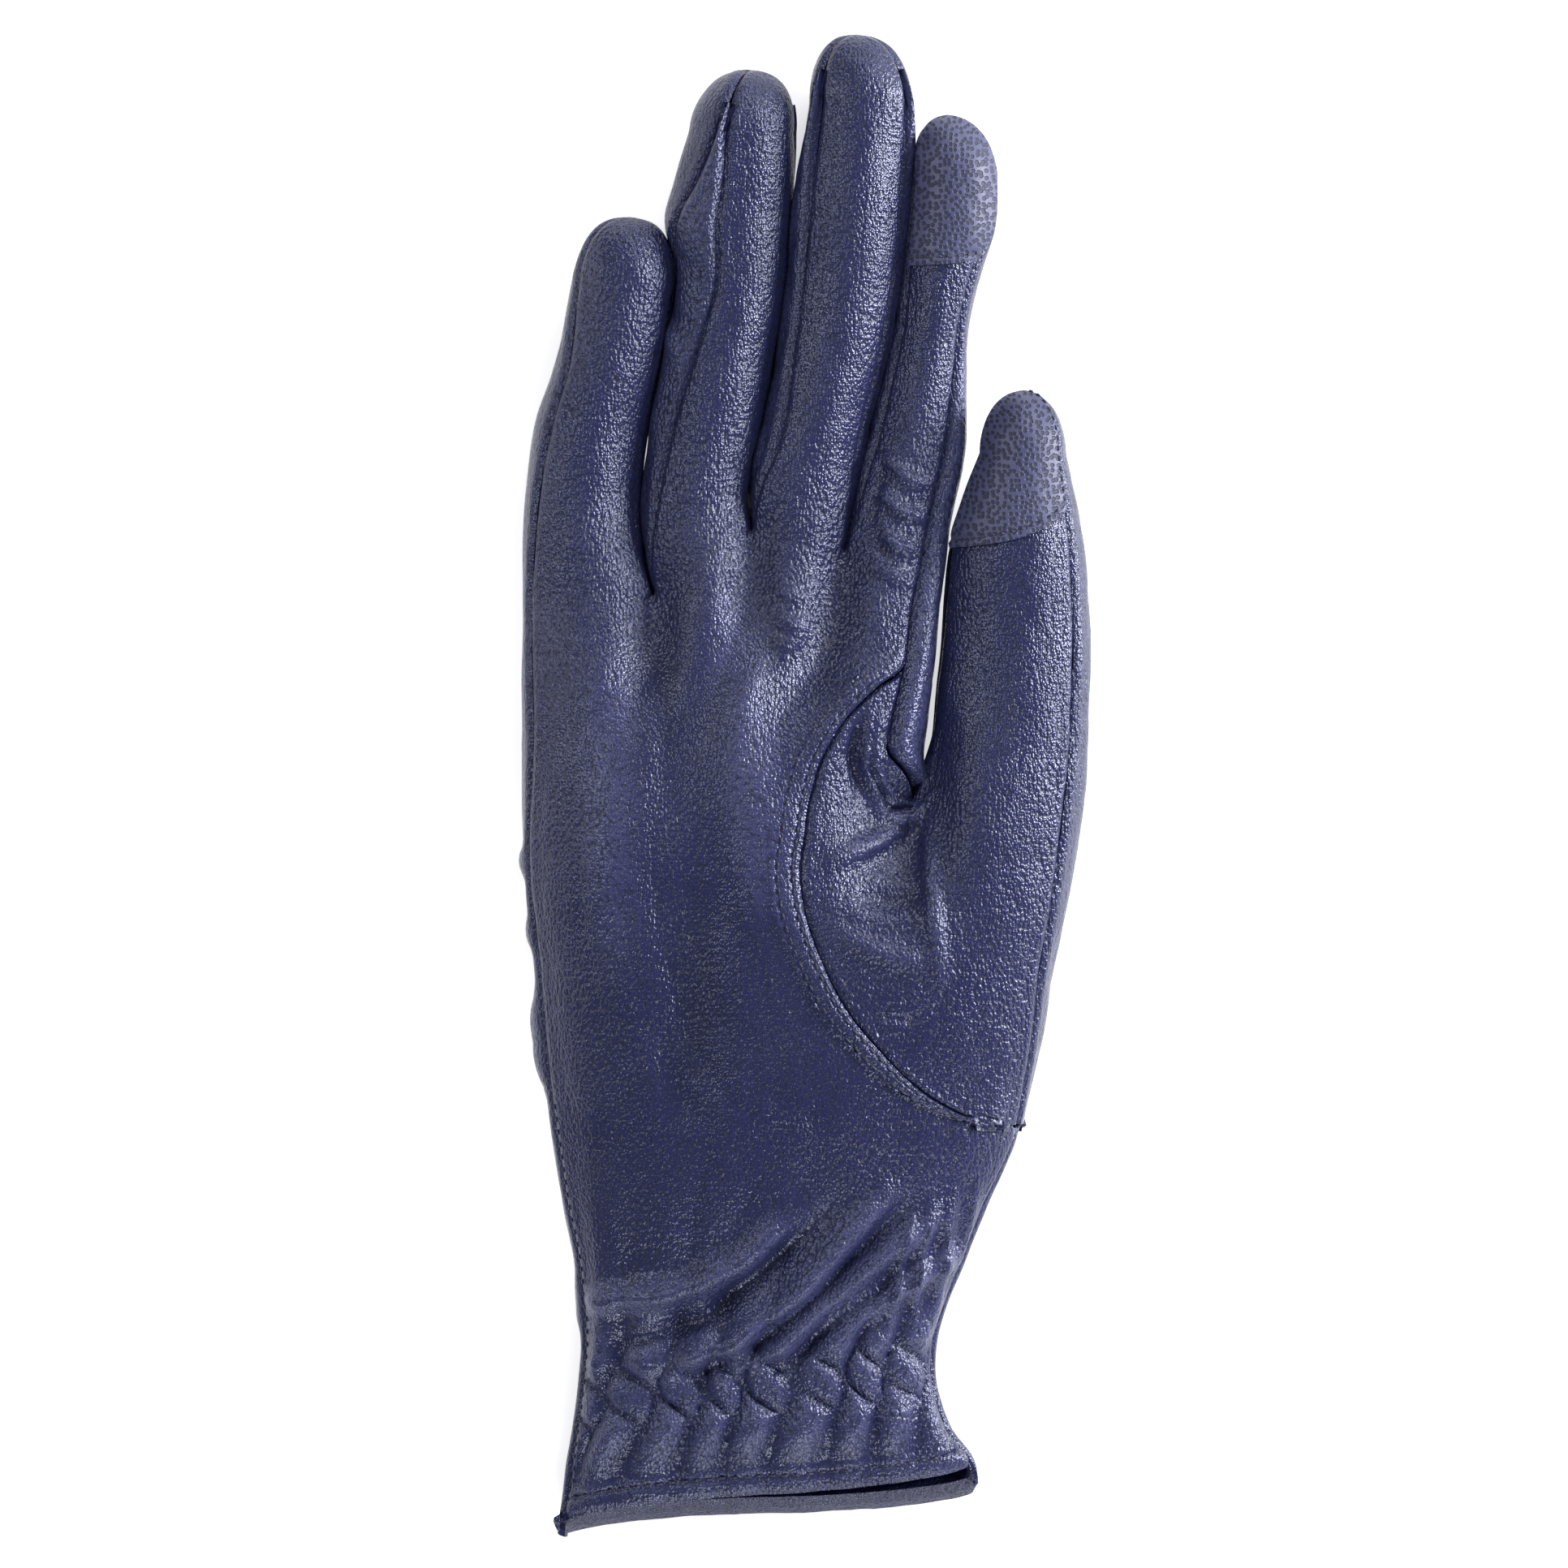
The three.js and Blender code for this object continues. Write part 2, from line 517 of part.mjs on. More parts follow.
// The thumb's fork is above the edge of the back piece.
const thumbFork = bodyPoint(FORK_ANGLE, FORK_ALONG);

// The ball of the thumb, from the long seam at 0 to the side seam at 1
function ballFront(row, c) {
  const s = thumbSection(ballPlace(row));
  const inside = mix(130, 160, share(row, CORNER_ROW, FORK_ROW));
  const point = fingerPoint(s, mix(inside, THUMB_SEAM + s.gap, c));
  const along = read(ROW_ENDS, "right", row);
  const seam = bodyPoint(read(ROW_ENDS, "angle", row) - gapAngle(PALM_WIDTH / 3), along);
  point.addScaledVector(seam.sub(fingerPoint(s, inside)), (1 - c) ** 2);
  return point;
}

function thumbBallFront(row, c) {
  const point = ballFront(row, c);
  const near = Math.exp(-(((c - WEB_SHARE) / 0.16) ** 2)) * Math.exp(-(((FORK_ROW - row) / 1.6) ** 2));
  const dip = thumbFork.clone().sub(ballFront(FORK_ROW, WEB_SHARE));
  return point.addScaledVector(dip, near);
}

function thumbFront(v, c) {
  const angles = (s) => [THUMB_INSIDE - s.gap, THUMB_SEAM + s.gap];
  const now = thumbSection(v);
  const root = thumbSection(0);
  const point = fingerPoint(now, mix(...angles(now), c));
  const goal = thumbBallFront(FORK_ROW, mix(WEB_SHARE, 1, c));
  const move = goal.sub(fingerPoint(root, mix(...angles(root), c)));
  return point.addScaledVector(move, 1 - ease(share(v, 0, ROOT)));
}

// The web of the thumb piece, between the long seam and the edge of the back piece
function thumbWeb(row, c) {
  const along = read(ROW_ENDS, "right", row);
  const from = read(ROW_ENDS, "angle", row) - gapAngle(PALM_WIDTH / 3);
  const to = read(BACK_EDGE, "angle", row) + gapAngle(PALM_DEPTH / 2);
  const point = bodyPoint(mix(from, to, c), along);
  const root = ROW_ENDS[FORK_ROW];
  const rootFrom = root.angle - gapAngle(PALM_WIDTH / 3);
  const rootTo = read(BACK_EDGE, "angle", FORK_ROW) + gapAngle(PALM_DEPTH / 2);
  const flat = bodyPoint(mix(rootFrom, rootTo, c), root.right);
  const goal = thumbBallFront(FORK_ROW, c * WEB_SHARE);
  return point.addScaledVector(goal.sub(flat), 1 - ease(share(row, FORK_ROW, FORK_ROW + 2)));
}

// The back of the ball, from the side seam at 0, under the thumb, to the edge of the back piece at 1
function ballBack(row, c) {
  const s = thumbSection(ballPlace(row));
  const end = mix(-120, THUMB_INSIDE - 360, ease(share(row, CORNER_ROW, FORK_ROW)));
  const point = fingerPoint(s, mix(THUMB_SEAM - s.gap, end, c));
  const edge = bodyPoint(read(BACK_EDGE, "angle", row), read(ROW_ENDS, "right", row));
  edge.x += 2 * SEAM_GAP;
  return onFloor(point.addScaledVector(edge.sub(fingerPoint(s, end)), c ** 3));
}

function thumbBack(v, c) {
  const angles = (s) => [THUMB_SEAM - s.gap, THUMB_INSIDE + s.gap - 360];
  const now = thumbSection(v);
  const root = thumbSection(0);
  const point = fingerPoint(now, mix(...angles(now), c));
  const move = ballBack(FORK_ROW, c).sub(fingerPoint(root, mix(...angles(root), c)));
  return point.addScaledVector(move, 1 - ease(share(v, 0, ROOT)));
}

// A leather piece: patches of its outer face, joined along their common edges, and a wall behind them
class Leather {
  constructor(name, wall = () => LEATHER) {
    this.name = name;
    this.wall = wall;
    this.spots = [];
    this.found = new Map();
    this.quads = [];
  }

  spot(point, normal) {
    const key = point.toArray().map((n) => Math.round(n * 1e3)).join();
    if (!this.found.has(key)) {
      this.found.set(key, this.spots.length);
      this.spots.push({ point, normal: at(0, 0, 0) });
    }
    const index = this.found.get(key);
    this.spots[index].normal.add(normal);
    return index;
  }

  // surface(a, c) gives the outer face for each place along and across
  patch(alongs, columns, surface) {
    const step = 1e-3;
    const way = Math.sign(alongs[1] - alongs[0]);
    const grid = alongs.map((a, i) =>
      Array.from({ length: columns + 1 }, (_, j) => {
        const c = j / columns;
        const stepA = (i > 0 ? -1 : 1) * step * Math.abs(alongs[i > 0 ? i - 1 : 1] - a);
        const stepC = c > 0.5 ? -step : step;
        const point = surface(a, c);
        const dA = surface(a + stepA, c).sub(point).divideScalar(stepA * way);
        const dC = surface(a, c + stepC).sub(point).divideScalar(stepC);
        return this.spot(point, dC.cross(dA).normalize());
      }),
    );
    for (let i = 0; i + 1 < grid.length; i++) {
      for (let j = 0; j < columns; j++) {
        this.quads.push([grid[i][j], grid[i][j + 1], grid[i + 1][j + 1], grid[i + 1][j]]);
      }
    }
    return this;
  }

  mesh(material) {
    const count = this.spots.length;
    const inner = this.spots.map(({ point, normal }) =>
      point.clone().addScaledVector(normal.normalize(), -this.wall(point)),
    );
    const points = [...this.spots.map((s) => s.point), ...inner];
    const faces = [];
    const open = new Map();
    for (const quad of this.quads) {
      const [a, b, c, d] = quad;
      faces.push(a, b, c, a, c, d);
      faces.push(a + count, c + count, b + count, a + count, d + count, c + count);
      quad.forEach((from, k) => {
        const to = quad[(k + 1) % 4];
        if (open.has(to + "_" + from)) open.delete(to + "_" + from);
        else open.set(from + "_" + to, [from, to]);
      });
    }
    for (const [from, to] of open.values()) {
      faces.push(from, from + count, to + count, from, to + count, to);
    }
    const geometry = new THREE.BufferGeometry();
    geometry.setAttribute(
      "position",
      new THREE.Float32BufferAttribute(points.flatMap((p) => p.toArray()), 3),
    );
    geometry.setIndex(faces);
    geometry.computeVertexNormals();
    const mesh = new THREE.Mesh(geometry, material);
    mesh.name = this.name;
    return mesh;
  }
}

const rows = (from, to, step = 1) =>
  Array.from({ length: Math.round((to - from) / step) + 1 }, (_, i) => from + i * step);

// Places along a finger, the same for all of its pieces: steps that grow from its root to the joint
// with a touch patch or to the start of its round tip, then steps round the tip
const SHAFT_STEPS = 8;
const TIP_STEPS = 4;
function fingerPlaces(sections, joint) {
  const last = sections[sections.length - 1].at;
  const end = joint ?? last;
  const places = rows(0, SHAFT_STEPS).map((i) => end * (i / SHAFT_STEPS) ** 1.25);
  if (joint !== undefined) places.push(mix(joint, last, 0.5), last);
  for (let i = 1; i <= TIP_STEPS; i++) {
    places.push(last + (1 - last) * Math.sin(radians((86 * i) / TIP_STEPS)));
  }
  return places;
}
const PLACES = new Map([
  [LITTLE, fingerPlaces(LITTLE.sections)],
  [RING, fingerPlaces(RING.sections)],
  [MIDDLE, fingerPlaces(MIDDLE.sections)],
  [INDEX, fingerPlaces(INDEX.sections, INDEX_PATCH)],
]);
const THUMB_PLACES = fingerPlaces(THUMB, THUMB_PATCH);
const shaftOf = (places) => places.slice(0, SHAFT_STEPS + 1);
const tipOf = (places) => places.slice(SHAFT_STEPS);
const leaveGap = (places, length) => [...places.slice(0, -1), places.at(-1) - SEAM_GAP / length];

const leather = (color, roughness) =>
  new THREE.MeshStandardMaterial({ color, roughness, metalness: 0 });

function palmPanel() {
  const hem = (point) => {
    const edge = mix(ROW_ENDS[0].left, ROW_ENDS[0].right, share(point.x / PALM_WIDTH, 0.09, 1.11));
    const above = point.y - edge * BODY_LENGTH;
    return mix(HEM_WALL, LEATHER, share(above, HEM_HEIGHT * 0.5, HEM_HEIGHT * 1.5));
  };
  const panel = new Leather("palm_panel", hem);
  panel.patch(rows(0, TOP_ROW), PALM_COLUMNS, palmPoint);
  for (const finger of FINGERS) {
    const all = PLACES.get(finger);
    const places = finger === INDEX ? leaveGap(shaftOf(all), INDEX_LENGTH) : all;
    panel.patch(places, FINGER_COLUMNS, (v, c) => fingerFront(finger, v, c));
  }
  return panel.mesh(leather(0x35375f, 0.5));
}

function backPanel() {
  const panel = new Leather("back_panel");
  const wrist = rows(0, CORNER_ROW - 1, 2);
  panel.patch([...wrist, ...rows(CORNER_ROW, TOP_ROW)], BACK_COLUMNS * 4, backPoint);
  for (const finger of FINGERS) {
    panel.patch(PLACES.get(finger), BACK_COLUMNS, (v, c) => fingerBack(finger, v, c));
  }
  return panel.mesh(leather(0x3a3c66, 0.48));
}

// The strip between two fingers: up the side of one, round the fork and up the side of the next
function fourchette(name, near, next) {
  const panel = new Leather(name);
  const places = (finger) => PLACES.get(finger).filter((v) => v < SIDE_END);
  panel.patch(places(near).reverse(), 2, (v, c) => fingerSide(near, 1, v, c));
  panel.patch([0, 1], 2, (t, c) => fingerSide(near, 1, 0, c).lerp(fingerSide(next, -1, 0, c), t));
  panel.patch(places(next), 2, (v, c) => fingerSide(next, -1, v, c));
  return panel.mesh(leather(0x33355c, 0.5));
}

function thumbFrontPanel() {
  const panel = new Leather("thumb_front");
  const columns = WEB_COLUMNS + THUMB_COLUMNS;
  const across = (c) => {
    const split = WEB_COLUMNS / columns;
    return c < split ? (c / split) * WEB_SHARE : mix(WEB_SHARE, 1, (c - split) / (1 - split));
  };
  panel.patch(rows(CORNER_ROW + 1, FORK_ROW), columns, (row, c) => thumbBallFront(row, across(c)));
  panel.patch(rows(FORK_ROW, WEB_ROW), WEB_COLUMNS, thumbWeb);
  panel.patch(leaveGap(shaftOf(THUMB_PLACES), THUMB_LENGTH), THUMB_COLUMNS, thumbFront);
  return panel.mesh(leather(0x383a63, 0.48));
}

function thumbBackPanel() {
  const panel = new Leather("thumb_back");
  panel.patch(rows(CORNER_ROW + 1, FORK_ROW), THUMB_COLUMNS, ballBack);
  panel.patch(THUMB_PLACES, THUMB_COLUMNS, thumbBack);
  return panel.mesh(leather(0x3d3f69, 0.46));
}

function tipPatch(name, places, columns, surface) {
  const panel = new Leather(name);
  panel.patch(tipOf(places), columns, surface);
  return panel.mesh(leather(0x4a4d70, 0.62));
}

const glove = new THREE.Group();
glove.add(
  palmPanel(),
  backPanel(),
  fourchette("fourchette_little_ring", LITTLE, RING),
  fourchette("fourchette_ring_middle", RING, MIDDLE),
  fourchette("fourchette_middle_index", MIDDLE, INDEX),
  thumbFrontPanel(),
  thumbBackPanel(),
  tipPatch("index_touch_patch", PLACES.get(INDEX), FINGER_COLUMNS, (v, c) => fingerFront(INDEX, v, c)),
  tipPatch("thumb_touch_patch", THUMB_PLACES, THUMB_COLUMNS, thumbFront),
);

// The origin is on the floor, under the middle of the glove.
const box = new THREE.Box3().setFromObject(glove);
const centre = box.getCenter(at(0, 0, 0));
for (const piece of glove.children) piece.position.set(-centre.x, -centre.y, -box.min.z);

export default glove;
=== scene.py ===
# %% [markdown]
# # A leather riding glove, rebuilt from one photograph
#
# The glove lies on its back on a white table, palm up, softly filled. It is sewn from nine pieces of thin
# indigo leather. We load the solids as a frame first, because every piece of the glove that we model
# here has to sit where its solid is.

import math

import bpy
import numpy as np
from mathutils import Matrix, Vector, noise


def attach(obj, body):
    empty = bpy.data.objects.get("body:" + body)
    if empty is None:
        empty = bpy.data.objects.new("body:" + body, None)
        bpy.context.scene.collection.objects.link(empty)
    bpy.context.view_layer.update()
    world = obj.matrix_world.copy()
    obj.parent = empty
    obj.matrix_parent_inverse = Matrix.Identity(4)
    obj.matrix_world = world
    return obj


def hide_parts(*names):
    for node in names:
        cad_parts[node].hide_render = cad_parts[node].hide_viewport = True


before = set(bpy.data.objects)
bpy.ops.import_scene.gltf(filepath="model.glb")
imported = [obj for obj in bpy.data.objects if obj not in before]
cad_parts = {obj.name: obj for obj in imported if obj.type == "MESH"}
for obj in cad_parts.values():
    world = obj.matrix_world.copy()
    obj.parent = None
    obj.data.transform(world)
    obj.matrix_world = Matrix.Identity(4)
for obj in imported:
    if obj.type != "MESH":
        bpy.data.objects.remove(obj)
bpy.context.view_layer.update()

# %% [markdown]
# The photograph was taken from straight above with a long lens, so its outline is nearly a plan of the
# glove. We set up that camera at once, so that every render can be laid beside the photograph.

# %% Camera
FRAME_WIDTH = 0.2579  # metres across the photograph, at the glove's mid height
MID_HEIGHT = 0.013
CAMERA_HEIGHT = 2.4
VIEW_CENTRE = (-0.0032, -0.0010)  # metres from the glove's middle

camera = bpy.data.objects.new("camera", bpy.data.cameras.new("camera"))
camera.location = (*VIEW_CENTRE, CAMERA_HEIGHT)
camera.data.lens = camera.data.sensor_width * (CAMERA_HEIGHT - MID_HEIGHT) / FRAME_WIDTH
bpy.context.scene.collection.objects.link(camera)
bpy.context.scene.camera = camera
print("lens", round(camera.data.lens), "mm")

# %% [markdown]
# ## The glove's form
#
# A sewn glove could be sculpted, but its seams would then be hard to place. A pattern cutter thinks in
# sections: how wide and how deep the hand, each finger and the thumb are at each place along them. Short
# tables hold those sections as shares of a few sizes in millimetres, and smooth curves join them.

# %% Sizes in millimetres
BODY_LENGTH = 163  # edge of the cuff to the fork between ring and middle finger
PALM_WIDTH = 68  # across the palm, below the fingers
PALM_DEPTH = 26  # how far the filled palm stands up
CUFF_DEPTH = 11  # the cuff lies flatter
FINGER_DEPTH = 15.5
THUMB_DEPTH = 18
THUMB_LENGTH = 66.5
LEATHER = 1.2
BODY_ROUNDNESS = 2.6  # of the palm's section: 2 is an ellipse, more is boxier
BACK_ROUNDNESS = 3.3  # of its lower half, which the table presses flat
BODY_WAIST = 0.42  # the widest place, as a share of the depth
FLATTENED = 0.8  # how far the round back would reach below the table
TIP_POINT = 0.8  # 1 is a half ellipse seen from the front, less is blunter
CENTRE = np.array([46.722, 122.468, 0])  # of the glove's box, in the pattern's coordinates


# %% Small helpers
def table(columns, text):
    """Rows of numbers under named columns"""
    rows = np.array([[float(n) for n in line.split()] for line in text.strip().splitlines()])
    return dict(zip(columns.split(), rows.T))


def read(rows, column, place):
    """A column of a table between its rows, on a smooth curve through them"""
    at, value = rows["at"], rows[column]
    last = len(at) - 1
    i = np.clip(np.searchsorted(at, place, side="right") - 1, 0, last - 1)

    def slope(k):
        before, after = np.maximum(k - 1, 0), np.minimum(k + 1, last)
        return (value[after] - value[before]) / (at[after] - at[before])

    width = at[i + 1] - at[i]
    t = np.clip((place - at[i]) / width, 0, 1)
    return (
        (2 * t**3 - 3 * t**2 + 1) * value[i]
        + (t**3 - 2 * t**2 + t) * width * slope(i)
        + (3 * t**2 - 2 * t**3) * value[i + 1]
        + (t**3 - t**2) * width * slope(i + 1)
    )


def mix(a, b, t):
    return a + (b - a) * t


def share(value, start, end):
    return np.clip((value - start) / (end - start), 0, 1)


def ease(t):
    return t * t * (3 - 2 * t)


def bell(x, width=1):
    """1 at 0, and less on both sides, to about a third at the width"""
    return np.exp(-((x / width) ** 2))


def distances(points, axis=0):
    """How far each point lies along its line, from the line's first point"""
    run = np.cumsum(np.linalg.norm(np.diff(points, axis=axis), axis=-1), axis=axis)
    return np.concatenate([np.zeros_like(np.take(run, [0], axis=axis)), run], axis=axis)


def at(x, y, z):
    return np.stack(np.broadcast_arrays(x, y, z), axis=-1).astype(float)


def on_floor(points):
    points[..., 2] = np.maximum(points[..., 2], 0)
    return points


print("leather", LEATHER, "mm, body", BODY_LENGTH, "mm long")

# %% [markdown]
# The hand's section is a soft box, rounder above than below, where the table presses it flat. `across`
# and `up` trace it, and the table widens and deepens it from the cuff to the fingers.

# %% Sections of the hand
BODY = table("at left right fullness", """
-0.02  0.09  1.111 0
0.021  0.102 1.111 0.04
0.062  0.113 1.098 0.14
0.095  0.127 1.043 0.26
0.144  0.143 1.008 0.32
0.193  0.148 1.016 0.42
0.267  0.129 1.082 0.62
0.316  0.105 1.129 0.74
0.402  0.072 1.211 0.88
0.496  0.047 1.176 0.97
0.554  0.035 1.141 1
0.636  0.014 1.082 1
0.685  0.006 1.025 0.98
0.73   0.004 0.965 0.95
0.799  0.002 0.992 0.9
0.857  0     1.01  0.84
0.934  0     1.018 0.72
1      0     1.027 0.62
""")


def body_section(along):
    left = read(BODY, "left", along) * PALM_WIDTH
    right = read(BODY, "right", along) * PALM_WIDTH
    depth = mix(CUFF_DEPTH, PALM_DEPTH, read(BODY, "fullness", along))
    return (left + right) / 2, (right - left) / 2, depth, depth * BODY_WAIST


def body_point(angle, along):
    middle, half, depth, waist = body_section(along)
    c, s = np.cos(np.radians(angle)), np.sin(np.radians(angle))
    power = 2 / np.where(s > 0, BODY_ROUNDNESS, BACK_ROUNDNESS)
    across = np.sign(c) * np.abs(c) ** power
    up = np.sign(s) * np.abs(s) ** power
    height = np.where(up > 0, up * (depth - waist), up * (waist + FLATTENED))
    return on_floor(at(middle + across * half, along * BODY_LENGTH, waist + height))


def angle_at(x, along):
    """The angle at which the front of the hand has a place across"""
    middle, half, _, _ = body_section(along)
    across = np.clip((x * PALM_WIDTH - middle) / half, -1, 1)
    return np.degrees(np.arccos(np.sign(across) * np.abs(across) ** (BODY_ROUNDNESS / 2)))


print("hand across, from the cuff on:", (PALM_WIDTH * (BODY["right"] - BODY["left"])).round().tolist())

# %% [markdown]
# The palm piece is cut in rows that follow the seams: on the little finger's side a row starts at `left`,
# on the thumb's side it ends at `right`, both along the hand. Rows 14 to 26 end on the thumb's long seam,
# which swings into the palm, and `x` says how far.

# %% Rows of the palm piece
WRIST_SEAM = 12  # degrees round the hand
PALM_ROWS = table("left right x", """
0      0.057  nan
0.0245 0.0815 nan
0.052  0.102  nan
0.075  0.12   nan
0.095  0.138  nan
0.111  0.154  nan
0.128  0.17   nan
0.144  0.185  nan
0.175  0.212  nan
0.212  0.246  nan
0.255  0.286  nan
0.305  0.33   nan
0.36   0.37   nan
0.408  0.398  nan
0.43   0.402  1.146
0.45   0.414  1.059
0.472  0.439  0.961
0.497  0.48   0.863
0.53   0.521  0.785
0.573  0.57   0.727
0.62   0.619  0.688
0.668  0.668  0.678
0.717  0.73   0.7
0.763  0.772  0.731
0.803  0.808  0.785
0.839  0.84   0.863
0.87   0.863  0.932
0.903  0.914  0.949
0.934  0.963  0.971
""")
STITCH_ROWS = (3.6, 7.3)  # the rows that the elastic is sewn along
CORNER_ROW = 13  # where the side seam of the wrist meets the thumb
FORK_ROW = 22  # where the thumb leaves the hand
WEB_ROW = 26  # where the long seam of the thumb ends below the index finger
TOP_ROW = 28
ROW_ENDS = {
    "at": np.arange(TOP_ROW + 1.0),
    "left": PALM_ROWS["left"],
    "right": PALM_ROWS["right"],
    "angle": np.where(
        np.isnan(PALM_ROWS["x"]),
        WRIST_SEAM,
        angle_at(np.nan_to_num(PALM_ROWS["x"]), PALM_ROWS["right"]),
    ),
}
BACK_EDGE = table("at angle", """
0  12
12 12
13 8
15 -30
18 -50
20 -42
21 -20
22 4
23 38
24 40
25 38
26 nan
27 nan
28 nan
""")
BACK_EDGE["angle"][-3:] = ROW_ENDS["angle"][WEB_ROW:]  # above the web, back and palm meet
LITTLE_SEAM = (166, 148)  # degrees round the hand, at the cuff and at the little finger
SEAM_TURN = (0.62, 0.934)  # where along the body it changes from the one to the other


def little_seam(along):
    return mix(*LITTLE_SEAM, ease(share(along, *SEAM_TURN)))


def strip(start, end, along_start, along_end, part):
    """Places on tilted rows of the hand's surface, by their share of each row's length"""
    steps = np.linspace(0, 1, 161)
    rows = [np.asarray(v, float)[:, None] for v in (start, end, along_start, along_end)]
    points = body_point(mix(rows[0], rows[1], steps), mix(rows[2], rows[3], steps))
    run = distances(points, axis=1)
    place = np.array([np.interp(p * r[-1], r, steps) for p, r in zip(part, run)])
    return body_point(mix(rows[0], rows[1], place), mix(rows[2], rows[3], place))


print(len(ROW_ENDS["at"]), "rows from the cuff to the fingers")

# %% [markdown]
# Each finger has its own table. `leftSeam` and `rightSeam` say where its front piece ends, in degrees
# round the finger: that is what turns a finger in the photograph so that its side strip shows.

# %% Sections of the fingers
SECTION = "at left right leftSeam rightSeam height depth"
LITTLE = dict(length=62.5, left_fork=0, y=0.934, slope=0, tip=0.264, sections=table(SECTION, """
0     0     0.322 148 30 0.58 0.58
0.139 0.004 0.287 143 22 0.58 0.55
0.288 0.014 0.287 140 14 0.57 0.52
0.459 0.037 0.309 135 10 0.56 0.5
0.609 0.082 0.342 138 10 0.56 0.5
0.833 0.125 0.371 152 8  0.57 0.47
"""))
RING = dict(length=81.5, left_fork=1, y=0.967, slope=0.67, tip=0.555, sections=table(SECTION, """
0     0.33  0.557 148 32  0.6  0.6
0.09  0.303 0.545 139 26  0.6  0.57
0.269 0.32  0.588 130 14  0.57 0.54
0.416 0.354 0.617 119 6   0.54 0.52
0.571 0.381 0.645 107 -4  0.53 0.5
0.693 0.35  0.657 100 -10 0.53 0.49
0.775 0.373 0.662 100 -12 0.53 0.48
0.873 0.406 0.662 106 -10 0.54 0.46
"""))
MIDDLE = dict(length=83.5, left_fork=2, y=0.99, slope=-0.21, tip=0.818, sections=table(SECTION, """
0     0.566 0.779 146 32 0.6  0.6
0.108 0.559 0.803 130 26 0.61 0.57
0.187 0.583 0.824 126 24 0.61 0.55
0.347 0.627 0.877 140 22 0.6  0.53
0.506 0.655 0.912 142 22 0.59 0.52
0.666 0.672 0.936 141 24 0.58 0.51
0.865 0.701 0.951 141 28 0.57 0.48
"""))
INDEX = dict(length=72.5, left_fork=3, y=0.972, slope=-0.1, tip=1.037, sections=table(SECTION, """
0     0.791 1.02  148 54 0.58 0.57
0.092 0.81  1.026 147 48 0.57 0.53
0.239 0.838 1.052 147 40 0.54 0.5
0.35  0.867 1.062 147 38 0.52 0.49
0.46  0.897 1.076 148 38 0.51 0.48
0.534 0.915 1.088 150 42 0.51 0.48
0.663 0.931 1.124 152 40 0.51 0.47
0.755 0.943 1.152 154 22 0.51 0.46
0.875 0.957 1.15  157 12 0.52 0.45
"""))
FINGERS = [LITTLE, RING, MIDDLE, INDEX]
FORKS = {
    1: dict(x=0.326, y=0.934, front=0.92, back=0.24),
    2: dict(x=0.561, y=1, front=0.94, back=0.24),
    3: dict(x=0.785, y=0.98, front=0.9, back=0.24),
}
SIDE_SPAN = 66  # width of a finger's side strip, in degrees round the finger
SIDE_END = 0.93  # share of a finger at which its side strip ends
ROOT = 0.3  # over this share of a finger its form grows out of the palm
FORK_SEAM = 0.3  # millimetres that a side strip stays below the front's fork


def round_section(rows, tip, full_depth, v):
    """A section of a finger or the thumb, which closes round the tip"""
    last = rows["at"][-1]
    t = np.minimum(v, last)
    left = read(rows, "left", t) * PALM_WIDTH
    right = read(rows, "right", t) * PALM_WIDTH
    lean = np.clip((v - last) / (1 - last), 0, 1)
    round_off = np.sqrt(np.maximum(1 - lean**2, 0))
    return dict(
        middle=mix((left + right) / 2, tip * PALM_WIDTH, lean),
        width=(right - left) / 2 * round_off**TIP_POINT,
        depth=read(rows, "depth", t) * full_depth * round_off,
        height=read(rows, "height", t) * full_depth,
    )


def finger_section(finger, v):
    rows = finger["sections"]
    t = np.minimum(v, rows["at"][-1])
    return round_section(rows, finger["tip"], FINGER_DEPTH, v) | dict(
        y=finger["y"] * BODY_LENGTH + v * finger["length"],
        slope=finger["slope"] * (1 - ease(share(v, 0, ROOT))),
        left_seam=read(rows, "leftSeam", t),
        right_seam=read(rows, "rightSeam", t),
        side=SIDE_SPAN * (1 - ease(share(v, 0.5, 1))),
    )


def round_point(s, angle):
    c, up = np.cos(np.radians(angle)), np.sin(np.radians(angle))
    y = s["y"] + s["slope"] * s["width"] * c
    return at(s["middle"] + s["width"] * c, y, s["height"] + s["depth"] * up)


def fork_point(fork, level):
    return at(fork["x"] * PALM_WIDTH, fork["y"] * BODY_LENGTH, fork[level] * FINGER_DEPTH)


def rooted(finger, angles, v, c, level):
    """A finger whose root meets the forks beside it; the pull of the forks fades towards the tip"""
    root, now = finger_section(finger, 0.0), finger_section(finger, v)
    point = round_point(now, mix(*angles(now), c))
    fade = 1 - ease(share(v, 0, ROOT))
    for end, side in enumerate((0, 1) if level == "front" else (1, 0)):
        fork = FORKS.get(finger["left_fork"] + side)
        if fork:
            move = fork_point(fork, level) - round_point(root, angles(root)[end])
            point = point + (fade * (c if end else 1 - c))[..., None] * move
    return point


def finger_front(finger, v, c):
    return rooted(finger, lambda s: (s["left_seam"], s["right_seam"]), v, c, "front")


def finger_back(finger, v, c):
    def angles(s):
        right = s["right_seam"] - (0 if finger is INDEX else s["side"])
        return right, s["left_seam"] + (0 if finger is LITTLE else s["side"]) - 360

    return on_floor(rooted(finger, angles, v, c, "back"))


